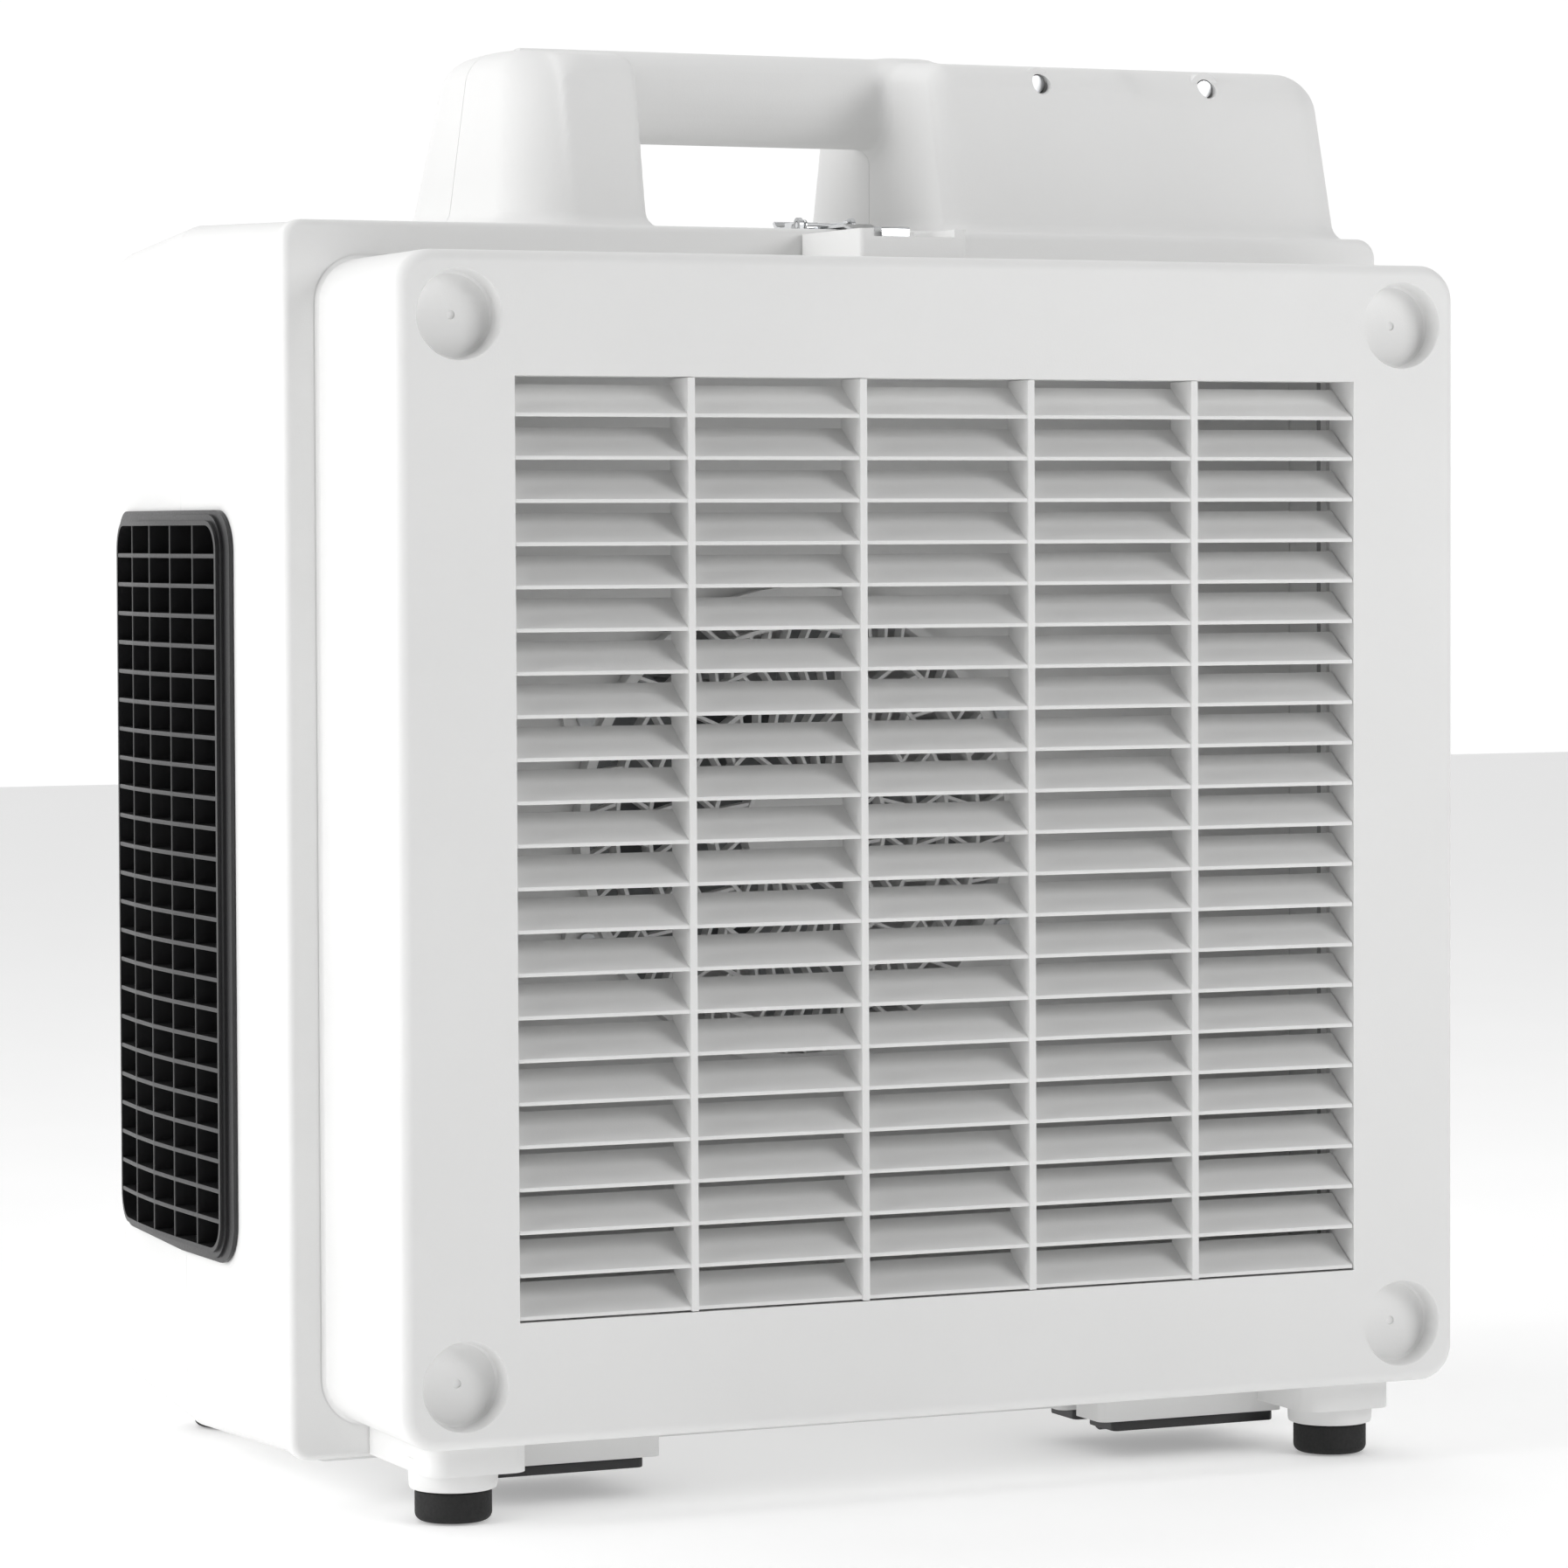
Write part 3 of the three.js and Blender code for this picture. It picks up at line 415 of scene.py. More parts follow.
MATERIALS = {
    "case_white": grained("spark_textured_white_abs", (0.835, 0.835, 0.83), (0.86, 0.86, 0.855),
                          (0.5, 0.62), 1500, 0.05, specular=0.4),
    "black_plastic": grained("satin_black_nylon", (0.012, 0.012, 0.013), (0.02, 0.02, 0.021),
                             (0.3, 0.42), 1100, 0.03, specular=0.55),
    "rubber_black": grained("matt_black_rubber", (0.012, 0.012, 0.012), (0.022, 0.022, 0.022),
                            (0.6, 0.8), 900, 0.05, specular=0.35),
    "gasket_foam": grained("closed_cell_foam", (0.36, 0.36, 0.36), (0.44, 0.44, 0.44),
                           (0.85, 0.95), 700, 0.35, specular=0.2),
    "latch_steel": drawn_metal("polished_latch_steel", (0.62, 0.63, 0.64), (0.72, 0.73, 0.74),
                               (0.1, 0.2), (1.0, 12.0, 1.0)),
    "zinc_steel": drawn_metal("zinc_plated_steel", (0.5, 0.51, 0.52), (0.62, 0.63, 0.64),
                              (0.28, 0.42), (10.0, 1.0, 10.0)),
    "motor_paint": grained("motor_enamel", (0.16, 0.165, 0.17), (0.2, 0.205, 0.21),
                           (0.3, 0.45), 600, 0.08, specular=0.5, coat=0.2),
    "fan_plastic": grained("impeller_nylon", (0.34, 0.35, 0.36), (0.38, 0.39, 0.4),
                           (0.4, 0.55), 800, 0.05),
    "switch_red": grained("red_rocker_plastic", (0.42, 0.012, 0.01), (0.5, 0.016, 0.012),
                          (0.2, 0.3), 900, 0.02),
    "capacitor_can": drawn_metal("drawn_aluminium_can", (0.66, 0.67, 0.68), (0.74, 0.75, 0.76),
                                 (0.22, 0.34), (1.0, 14.0, 14.0)),
}

for subpart in frame["record"]["subparts"]:
    node = frame["nodes"][subpart["node"]]
    node.data.materials.clear()
    node.data.materials.append(MATERIALS[subpart["material_slot"]])


# ------------ camera
SENSOR = 36.0
IMAGE_SIDE = 1794


def studio_camera():
    """Stands in front and to the left of the unit, level with its upper half, with a long lens."""
    data = bpy.data.cameras.new("camera")
    camera = bpy.data.objects.new("camera", data)
    bpy.context.scene.collection.objects.link(camera)
    focal_pixels = 6688.9
    centre_above_middle = 37.0
    data.sensor_width = SENSOR
    data.sensor_fit = "HORIZONTAL"
    data.lens = SENSOR * focal_pixels / IMAGE_SIDE
    data.shift_y = -centre_above_middle / IMAGE_SIDE
    data.clip_end = 50.0
    right = Vector((0.910993, -0.412403, -0.003924))
    up = Vector((0.019231, 0.032973, 0.999271))
    turn = Matrix((right, up, right.cross(up))).transposed()
    camera.matrix_world = Matrix.Translation(casing(-963.4, -1978.2, 116.6)) @ turn.to_4x4()
    bpy.context.scene.camera = camera


studio_camera()


# ------------ casing outline
# The casing widens from its front to the parting line, then tapers to the back.
CASE_RINGS = [(86.0, 229.0, -233.0, 232.6), (PARTING, 231.0, -237.3, 236.8), (320.0, 222.0, -233.3, 232.0)]


def case_section(y, inset=0.0, r=10.0):
    second = 2 if y > PARTING else 1
    a, b = CASE_RINGS[second - 1], CASE_RINGS[second]
    t = (y - a[0]) / (b[0] - a[0])
    half, bottom, top = (a[k] + t * (b[k] - a[k]) for k in (1, 2, 3))
    half -= inset
    return (y, (-half, half), (bottom + inset, top - inset), max(0.5, r - inset))


def wall_x(y):
    return case_section(y)[1][1]


def side_hole(name, side, reach=40.0):
    """A cutter for one side outlet: its rounded outline, right through the wall."""
    span = ordered(side * (wall_x(PARTING) - reach / 2), side * (wall_x(PARTING) + reach / 2))
    return slab(name, "x", span, (RIM_Y[0] - GAP, RIM_Y[1] + GAP), (RIM_Z[0] - GAP, RIM_Z[1] + GAP), RIM_R)


# ------------ casing shells
def land_opening(start, end):
    """The square opening that the filter passes through, in the flange and in the door's gasket ledge."""
    return slab("opening", "y", (start, end), both(LAND_HALF), both(LAND_HALF), 8.0)


def front_casing():
    flange_section = (FLANGE[0], both(FLANGE_HALF), (FLANGE_BOTTOM, FLANGE_TOP), 8.0)
    front_r, back_r = 2.8, 1.6
    front_edge = list(reversed(rounded_end(grown(flange_section, 0, FLANGE[0] + front_r), front_r, -1)))
    back_edge = rounded_end(grown(flange_section, 0, FLANGE[1] - back_r), back_r, 1)
    shell = loft("front_casing", "y", front_edge + back_edge)
    body = loft("body", "y", [
        case_section(86), case_section(PARTING - 0.6), grown(case_section(PARTING), -0.4)])
    pads = [slab("pad", "z", (-235.6, -225.0), ordered(s * 94, s * 176), (93.5, 118.0), 4.0)
            for _, s in SIDES]
    shell = unite(shell, body, *pads)
    hollow = loft("hollow", "y", [
        grown(case_section(86, WALL), 0, FLANGE[0] + WALL), case_section(PARTING, WALL),
        grown(case_section(PARTING, WALL), 0, PARTING + 4)])
    shell = cut(shell, hollow, land_opening(FLANGE[0] - 2, FLANGE[0] + WALL + 2))
    shell = cut(shell, side_hole("hole", -1), side_hole("hole", 1))
    shell = unite(shell, block("doubler", (-17, 17), (94, 142.9), (227, 231.7)))
    shell = cut(shell, block("pocket", (-14, 14), (95, 142), (231.6, 245)))
    return soften(shell, 0.5, 2, 40)


def rear_casing():
    full = case_section(320.0, 0.0, 12.0)
    shell = loft("rear_casing", "y", [
        grown(case_section(PARTING + GAP), -0.4), case_section(PARTING + GAP + 0.6),
        *rounded_end(full, CASE_BACK - 320.0, 1, 8)])
    bosses = [foot_boss("boss", s * FOOT_X, REAR_FOOT_Y, -222.0) for _, s in SIDES]
    shell = unite(shell, *bosses)
    inner = case_section(318.0, WALL, 12.0)
    hollow = loft("hollow", "y", [
        grown(case_section(PARTING + GAP, WALL), 0, PARTING - 4), case_section(PARTING + GAP, WALL),
        inner, grown(inner, -8.0, CASE_BACK - WALL, 14.0)])
    shell = cut(shell, hollow, side_hole("hole", -1), side_hole("hole", 1))
    return soften(shell, 0.5, 2, 40)


def foot_boss(name, x, y, top):
    """The white boss that a rubber foot is pressed into, with a rounded lower edge."""
    return turned(name, "z", (x, y), [
        (0, top), (BOSS_R + 0.6, top), (BOSS_R, FOOT_TOP + 1.2), (BOSS_R - 0.35, FOOT_TOP + 0.35),
        (BOSS_R - 1.2, FOOT_TOP), (0, FOOT_TOP)])


fit(front_casing(), "housing", "case_white", "front_shell")
fit(rear_casing(), "housing", "case_white", "rear_shell")


# ------------ side outlet grilles
COLUMNS = (190.1, 216.4, 242.7, 269.0)
ROWS = 23
ROW_PITCH = 11.7
TOP_BAR = 107.2
COLUMN_WIDTH = 1.5
ROW_HEIGHT = 1.9
GRILLE_DEPTH = 14.0
RIM_WALL = 1.8
FACE_Y = (145.0, 216.4, 242.7, 269.0, 319.0)
FACE_X = (234.2, 235.4, 235.2, 233.7, 228.7)


def face_x(y):
    """How far out the grille's gently bent face stands at a depth."""
    return float(np.interp(y, FACE_Y, FACE_X))


def side_slab(name, side, inner, outer):
    """A slab between two lines of (depth, distance from the middle) on one side of the casing."""
    line = [(side * x, y) for y, x in inner] + [(side * x, y) for y, x in reversed(outer)]
    return skin(name, [[(x, y, z) for x, y in line] for z in (-175.0, 135.0)])


def face_line(back):
    return [(y, x - back) for y, x in zip(FACE_Y, FACE_X)]


def wall_line(out):
    return [(y, wall_x(y) + out) for y in (145.0, PARTING, 319.0)]


def lattice(name, side):
    """The crossed bars as one sheet of square cells, bent a little at each upright bar."""
    bars_y = [(y - COLUMN_WIDTH / 2, y + COLUMN_WIDTH / 2) for y in COLUMNS]
    bars_z = [(z - ROW_HEIGHT / 2, z + ROW_HEIGHT / 2)
              for z in (TOP_BAR - row * ROW_PITCH for row in range(ROWS - 1, -1, -1))]
    lines_y = sorted([RIM_Y[0] + 1, RIM_Y[1] - 1] + [edge for bar in bars_y for edge in bar])
    lines_z = sorted([RIM_Z[0] + 1, RIM_Z[1] - 1] + [edge for bar in bars_z for edge in bar])

    def solid(i, j):
        if not (0 <= i < len(lines_y) - 1 and 0 <= j < len(lines_z) - 1):
            return False
        y = (lines_y[i] + lines_y[i + 1]) / 2
        z = (lines_z[j] + lines_z[j + 1]) / 2
        return any(a < y < b for a, b in bars_y) or any(a < z < b for a, b in bars_z)

    points, index, faces = [], {}, []

    def corner(i, j, layer):
        if (i, j, layer) not in index:
            index[i, j, layer] = len(points)
            back = (0.15, GRILLE_DEPTH)[layer]
            points.append((side * (face_x(lines_y[i]) - back), lines_y[i], lines_z[j]))
        return index[i, j, layer]

    for i in range(len(lines_y) - 1):
        for j in range(len(lines_z) - 1):
            if not solid(i, j):
                continue
            square = [(i, j), (i + 1, j), (i + 1, j + 1), (i, j + 1)]
            faces.append([corner(*place, 0) for place in square])
            faces.append([corner(*place, 1) for place in reversed(square)])
            for edge, neighbour in enumerate([(i, j - 1), (i + 1, j), (i, j + 1), (i - 1, j)]):
                if not solid(*neighbour):
                    a, b = square[edge], square[(edge + 1) % 4]
                    faces.append([corner(*a, 1), corner(*b, 1), corner(*b, 0), corner(*a, 0)])
    return soften(make(name, points, faces), 0.5, 2, 40, clean=False)


def grille(name, side):
    """A deep black egg-crate grille in a thin raised rim, on a stepped flange that laps the wall."""
    span = ordered(side * 195, side * 250)

    def ring(part, y, z, r, wall, inner, outer):
        whole = (span[0], y, z, r)
        ends = [whole, grown(whole, 0, span[1])]
        hollow = [grown(whole, -wall, span[0] - 1), grown(whole, -wall, span[1] + 1)]
        tube = cut(loft(part, "x", ends), loft("hollow", "x", hollow))
        return keep(tube, side_slab("wall", side, inner, outer))

    rim = ring("rim", RIM_Y, RIM_Z, RIM_R, RIM_WALL, face_line(GRILLE_DEPTH), face_line(0.0))
    step = ring("step", (RIM_Y[0] - 2.4, RIM_Y[1] + 5), (RIM_Z[0] - 2.4, RIM_Z[1] + 2.4), 15.0, 4.0,
                wall_line(GAP), wall_line(3.0))
    flange = cut(slab("flange", "x", span, (154.0, 316.0), (-166.7, 125.0), 16.0), side_hole("hole", side))
    flange = keep(flange, side_slab("wall", side, wall_line(GAP), wall_line(1.9)))
    frame_part = soften(unite(rim, step, flange), 0.45, 2, 40)
    bars = keep(lattice(name, side), slab("inside", "x", span, (RIM_Y[0] + 0.6, RIM_Y[1] - 0.6),
                                          (RIM_Z[0] + 0.6, RIM_Z[1] - 0.6), RIM_R - 0.6))
    return unite(bars, frame_part)


for side_name, side in SIDES:
    fit(grille(f"outlet_grille_{side_name}", side), "housing", "black_plastic", f"side_grille_{side_name}")


# ------------ rubber feet and back bumpers
def rubber_foot(name, node):
    """A pressed-in rubber foot: straight sides, a rounded lower edge and a shallow hollow underneath."""
    low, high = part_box(node)
    centre = ((low.x + high.x) / 2 / MM, ((low.y + high.y) / 2 - CASE_FRONT) / MM)
    radius = (high.x - low.x) / 2 / MM
    bottom = (low.z - INTAKE_HEIGHT) / MM
    top = (high.z - INTAKE_HEIGHT) / MM
    edge = 3.0
    profile = [(0, top), (radius - 0.8, top), (radius - 0.2, top - 0.3), (radius, top - 1.0)]
    for step in range(7):
        angle = step / 6 * math.pi / 2
        profile.append((radius - edge * (1 - math.cos(angle)), bottom + edge * (1 - math.sin(angle))))
    profile += [(5.5, bottom), (5.0, bottom + 0.4), (4.6, bottom + 1.6), (0, bottom + 1.8)]
    return turned(name, "z", centre, profile)


def back_bumper(name, node):
    low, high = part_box(node)
    centre = ((low.x + high.x) / 2 / MM, ((low.z + high.z) / 2 - INTAKE_HEIGHT) / MM)
    radius = (high.x - low.x) / 2 / MM
    start, end = (low.y - CASE_FRONT) / MM, (high.y - CASE_FRONT) / MM
    return turned(name, "y", centre, [
        (0, start), (radius, start), (radius, start + 1.4), (radius - 0.5, start + 2.0),
        (radius - 1.1, end - 1.8), (radius - 1.5, end - 0.7), (radius - 2.6, end), (2.4, end),
        (2.0, end - 1.5), (0, end - 1.6)], 40)


for side_name, _ in SIDES:
    for piece, body, end in (("door_foot", "door", "front"), ("case_foot", "housing", "rear")):
        node = f"{end}_foot_{side_name}"
        fit(rubber_foot(f"{piece}_{side_name}", node), body, "rubber_black", node, smooth=50)
    for level in ("upper", "lower"):
        node = f"back_bumper_{level}_{side_name}"
        fit(back_bumper(f"bumper_{level}_{side_name}", node), "housing", "rubber_black", node, smooth=50)


# ------------ door
def door_moulding():
    full = (4.5, both(DOOR_HALF_X), both(DOOR_HALF_Z), 14.0)
    front = list(reversed(rounded_end(full, 4.5, -1, 6)))
    lip_r = 1.6
    lip = [grown(full, lip_r * (1 - math.cos(angle)), DOOR_EDGE - lip_r + lip_r * math.sin(angle),
                 17.0 + lip_r * (1 - math.cos(angle))) for angle in np.linspace(0, 1.45, 6)]
    door = loft("door_moulding", "y", front + lip + [grown(lip[-1], 0, DOOR_EDGE)], 14)
    foot_blocks = []
    for _, s in SIDES:
        foot_blocks += [
            slab("foot_block", "z", (-231.0, -210.0), ordered(s * 164, s * 203), (18.0, DOOR_EDGE + 8), 7.0),
            slab("hinge_pad", "z", (-235.6, -210.0), ordered(s * 94, s * 176), (58.0, 82.4), 4.0),
        ]
    door = unite(door, *foot_blocks)
    bosses = [foot_boss("boss", s * FOOT_X, FRONT_FOOT_Y, -226.0) for _, s in SIDES]
    door = unite(door, *bosses, slab("keeper", "z", (212.0, 230.5), (-22.4, 22.4), (29.0, DOOR_EDGE), 2.0))
    door = cut(door, block("behind", (-300, 300), (DOOR_EDGE, 120), (-300, 300)))
    inside = grown(full, -WALL, WALL, 12.0)
    door = cut(door, loft("hollow", "y", [inside, grown(inside, 0, DOOR_EDGE + 2, 14.0)]))
    ledge = slab("ledge", "y", (DOOR_BACK - 5, DOOR_BACK - GAP), both(DOOR_HALF_X - 2),
                 both(DOOR_HALF_Z - 2), 14.0)
    door = unite(door, cut(ledge, land_opening(DOOR_BACK - 7, DOOR_BACK + 2)))
    cups = [rod("cup", "y", (1.0, CUP_DEPTH + WALL), (sx * CUP_X, sz * CUP_Z), CUP_R + WALL - 0.4)
            for sx, sz in CORNERS]
    collar = slab("collar", "y", (1.0, 19.0), both(APERTURE_X + WALL), both(APERTURE_Z + WALL), 1.0)
    door = unite(door, collar, *cups)
    wells = [turned("well", "y", (sx * CUP_X, sz * CUP_Z), [
        (0, -1.0), (CUP_R + 1.0, -1.0), (CUP_R + 0.5, 0.3), (CUP_R, 1.1), (CUP_R - 0.3, CUP_DEPTH - 1.0),
        (CUP_R - 1.3, CUP_DEPTH), (1.7, CUP_DEPTH), (1.5, CUP_DEPTH + 0.7), (0, CUP_DEPTH + 0.8)])
        for sx, sz in CORNERS]
    aperture = block("aperture", both(APERTURE_X), (-3, 30), both(APERTURE_Z))
    notch = block("notch", (-17, 17), (32, DOOR_EDGE + 2), (226, 240))
    notch_front = block("notch_front", (-17, 17), (20, 34), (227.5, 240))
    door = cut(door, aperture, *wells, notch, notch_front)
    door = unite(door, block("catch_lip", (-9, 9), (48, 52), (224, 230.3)))
    return soften(door, 0.6, 2, 34)


def louvres():
    half_x, half_z = APERTURE_X - GAP, APERTURE_Z - GAP
    slats = []
    for i in range(SLATS):
        z = APERTURE_Z - SLAT_TOP_MARGIN - i * SLAT_PITCH
        along = np.linspace(0, 1, 9)
        under = [(0.6 + 15.9 * t, z + SLAT_RISE * t ** 1.12) for t in along]
        over = [(y, height + 1.5 + 0.8 * t) for (y, height), t in zip(under, along)]
        slats.append(prism("slat", under + over[::-1], both(half_x)))
    rib_half = 1.45
    ribs = []
    for i in (-1.5, -0.5, 0.5, 1.5):
        x = i * RIB_PITCH
        ribs.append(block("rib", (x - rib_half, x + rib_half), (0.0, 17.0), both(half_z)))
    panel = unite(join(slats), join(ribs))
    panel.name = "intake_louvres"
    panel = keep(panel, block("limit", both(half_x), (0.0, 17.0), both(half_z)))
    return soften(panel, 0.3, 2, 34)


fit(door_moulding(), "door", "case_white", "door_frame")
fit(louvres(), "door", "case_white", "louvre_panel")


# ------------ fan guard
GUARD_RINGS = (93.0, 79.0, 65.0, 51.0, 37.0, 23.0)
GUARD_Y = (135.0, BULKHEAD_Y - GAP)
GUARD_SCREW_R = 101.0
GUARD_SCREW_ANGLES = (25.7, 154.3, 205.7, 334.3)
FIN_SPACING = 8.0


def guard_fin(radius, angle, length, slant):
    """The eight corners of one thin, slanted fin of the guard."""
    along = Vector((math.cos(angle + slant), math.sin(angle + slant)))
    across_fin = Vector((-along.y, along.x)) * 0.65
    middle = Vector((radius * math.cos(angle), radius * math.sin(angle) + FAN_Z))
    corners = []
    for y in (GUARD_Y[0] + 0.8, GUARD_Y[1] - 0.8):
        for step, side_step in ((-1, -1), (1, -1), (1, 1), (-1, 1)):
            place = middle + along * step * length / 2 + across_fin * side_step
            corners.append((place.x, y, place.y))
    return corners


def finger_guard():
    """Concentric rings with a band of slanted fins between each pair, and four screw lugs."""
    rings = []
    for radius in GUARD_RINGS:
        half = 2.0 if radius == GUARD_RINGS[0] else 0.8
        rings.append(turned("ring", "y", (0, FAN_Z), [
            (radius - half, GUARD_Y[0]), (radius - half, GUARD_Y[1]),
            (radius + half, GUARD_Y[1]), (radius + half, GUARD_Y[0])], 96))
    points, faces = [], []
    box_faces = [(0, 3, 2, 1), (4, 5, 6, 7), (0, 1, 5, 4), (1, 2, 6, 5), (2, 3, 7, 6), (3, 0, 4, 7)]
    for band, (outer, inner) in enumerate(zip(GUARD_RINGS, GUARD_RINGS[1:])):
        radius = (outer + inner) / 2
        slant = math.radians(24) * (-1) ** band
        length = (outer - inner) / math.cos(slant)
        count = round(2 * math.pi * radius / FIN_SPACING)
        for i in range(count):
            start = len(points)
            points += guard_fin(radius, 2 * math.pi * i / count, length, slant)
            faces += [tuple(start + k for k in face) for face in box_faces]
    guard = unite(join(rings), make("fins", points, faces))
    hub = turned("hub", "y", (0, FAN_Z), [
        (0, GUARD_Y[0]), (20.0, GUARD_Y[0]), (23.4, GUARD_Y[0] + 1.5), (23.4, GUARD_Y[1]),
        (0, GUARD_Y[1])])
    lugs, holes = [], []
    for degrees in GUARD_SCREW_ANGLES:
        angle = math.radians(degrees)
        centre = (GUARD_SCREW_R * math.cos(angle), FAN_Z + GUARD_SCREW_R * math.sin(angle))
        lugs.append(rod("lug", "y", (GUARD_Y[1] - 4, GUARD_Y[1]), centre, 9.0, 32))
        holes.append(rod("hole", "y", (GUARD_Y[0] - 2, GUARD_Y[1] + 2), centre, 2.2, 20))
    guard = cut(unite(guard, hub, join(lugs)), join(holes))
    guard.name = "fan_guard"
    return guard


fit(finger_guard(), "housing", "case_white", "finger_guard")


# ------------ handle
def round_both(a, b, r):
    """The intersection of two distance fields, with their common edge rounded to r."""
    return np.minimum(-r, np.maximum(a, b)) + np.hypot(np.maximum(r + a, 0), np.maximum(r + b, 0))


def round_either(a, b, r):
    """The union of two distance fields, with a fillet of r where they meet."""
    return np.maximum(r, np.minimum(a, b)) - np.hypot(np.maximum(r - a, 0), np.maximum(r - b, 0))


HANDLE_FOOT_Z = 228.0
HANDLE_HEAD_Z = 294.0
TOWERS = (
    {"foot_x": (-134.1, -79.5), "head_x": (-125.2, -77.8), "plan_r": (26.0, 3.0), "top_r": (12.0, 7.0)},
    {"foot_x": (49.8, 229.4), "head_x": (49.8, 227.6), "plan_r": (8.0, 15.0), "top_r": (9.0, 14.0)},
)
TOWER_FOOT_Y = (98.2, 239.8)
TOWER_HEAD_Y = (114.3, 223.7)
TOWER_TOP = 304.6
CROWN_RADIUS = 400.0


def tower_field(x, y, z, tower):
    t = (z - HANDLE_FOOT_Z) / (HANDLE_HEAD_Z - HANDLE_FOOT_Z)

    def face(foot, head, k):
        return foot[k] + t * (head[k] - foot[k])

    x0, x1 = face(tower["foot_x"], tower["head_x"], 0), face(tower["foot_x"], tower["head_x"], 1)
    y0, y1 = face(TOWER_FOOT_Y, TOWER_HEAD_Y, 0), face(TOWER_FOOT_Y, TOWER_HEAD_Y, 1)
    crown = np.hypot(y - HANDLE_SPLIT, z - (TOWER_TOP - CROWN_RADIUS)) - CROWN_RADIUS
    middle = (tower["foot_x"][0] + tower["foot_x"][1]) / 2

    def by_side(pair):
        return pair[0] + np.clip((x - middle) / 8.0 + 0.5, 0, 1) * (pair[1] - pair[0])

    plan = round_both(np.maximum(x0 - x, x - x1), np.maximum(y0 - y, y - y1), by_side(tower["plan_r"]))
    return round_both(plan, crown, by_side(tower["top_r"]))


def grip_field(x, y, z, radius):
    """Distance to the round bar, which ends inside the two towers."""
    bar = np.hypot(y - HANDLE_SPLIT, z - GRIP_Z) - radius
    return np.maximum(bar, np.maximum(GRIP_X[0] - x, x - GRIP_X[1]))


def roof_height(y):
    front, ridge, back = ((ring[0], ring[3]) for ring in CASE_RINGS)
    rising = front[1] + (y - front[0]) * (ridge[1] - front[1]) / (ridge[0] - front[0])
    falling = ridge[1] + (y - ridge[0]) * (back[1] - ridge[1]) / (back[0] - ridge[0])
    return np.minimum(rising, falling)


def handle_field(x, y, z):
    """Distance to the handle's outer surface: two towers, the grip between them and a flare at the roof."""
    left, right = (tower_field(x, y, z, tower) for tower in TOWERS)
    bar = grip_field(x, y, z, GRIP_R)
    body = round_either(left, bar, 2.5)
    body = round_either(body, round_either(right, bar, 6.0), 0.5)
    return round_either(body, z - roof_height(y), 6.0)


def surface_net(name, field, low, high, step):
    """Meshes the zero surface of a distance field on a grid, then draws each point onto the surface."""
    axes = [np.arange(a, b + step, step) for a, b in zip(low, high)]
    grid = np.meshgrid(*axes, indexing="ij")
    value = field(*grid)
    for k in range(3):
        edge_planes = [slice(None)] * 3
        edge_planes[k] = [0, -1]
        value[tuple(edge_planes)] = np.maximum(value[tuple(edge_planes)], step)
    inside = value < 0
    cells = tuple(n - 1 for n in value.shape)
    total = np.zeros(cells + (3,))
    count = np.zeros(cells)
    corners = [(i, j, k) for i in (0, 1) for j in (0, 1) for k in (0, 1)]

    def corner(array, offset):
        return array[tuple(slice(o, o + n) for o, n in zip(offset, cells))]

    for a in corners:
        for k in range(3):
            if a[k]:
                continue
            b = tuple(o + (1 if axis == k else 0) for axis, o in enumerate(a))
            va, vb = corner(value, a), corner(value, b)
            crossing = (va < 0) != (vb < 0)
            t = np.where(crossing, va / np.where(crossing, va - vb, 1.0), 0.0)
            for axis in range(3):
                place = a[axis] + (t if axis == k else 0.0)
                total[..., axis] += np.where(crossing, place, 0.0)
            count += crossing
    used = count > 0
    index = -np.ones(cells, int)
    index[used] = np.arange(used.sum())
    where = np.argwhere(used)
    points = np.array(low) + (where + total[used] / count[used][:, None]) * step
    for _ in range(4):
        h = 0.05
        here = field(*points.T)
        slope = np.stack([(field(*(points + h * unit).T) - field(*(points - h * unit).T)) / (2 * h)
                          for unit in np.eye(3)], axis=1)
        move = -here[:, None] * slope / np.maximum((slope ** 2).sum(1), 0.25)[:, None]
        size = np.linalg.norm(move, axis=1)
        free = np.all((points > np.array(low) + 2 * step) & (points < np.array(high) - 2 * step), axis=1)
        points[free] += (move * np.minimum(1, step / np.maximum(size, 1e-9))[:, None])[free]
    faces = []
    for k in range(3):
        u, v = (k + 1) % 3, (k + 2) % 3
        first = inside.take(range(inside.shape[k] - 1), axis=k)
        second = inside.take(range(1, inside.shape[k]), axis=k)
        for i, j, m in np.argwhere(first != second):
            place = [i, j, m]
            if min(place[u], place[v]) < 1 or place[u] >= cells[u] or place[v] >= cells[v]:
                continue
            quad = []
            for du, dv in ((1, 1), (0, 1), (0, 0), (1, 0)):
                cell = list(place)
                cell[u] -= du
                cell[v] -= dv
                quad.append(int(index[tuple(cell)]))
            faces.append(tuple(quad))
    return make(name, points.tolist(), faces)


SCREW_X = (98.0, 174.0)
SCREW_Z = 294.3
HANDLE_LOW = (-150.0, 86.0, 222.0)
HANDLE_HIGH = (246.0, 254.0, 312.0)


def hollow_field(x, y, z):
    """The space inside the handle: the towers and the grip, one wall thickness in."""
    left, right = (tower_field(x, y, z, tower) for tower in TOWERS)
    return np.minimum(np.minimum(left, right) + WALL, grip_field(x, y, z, GRIP_R - WALL))


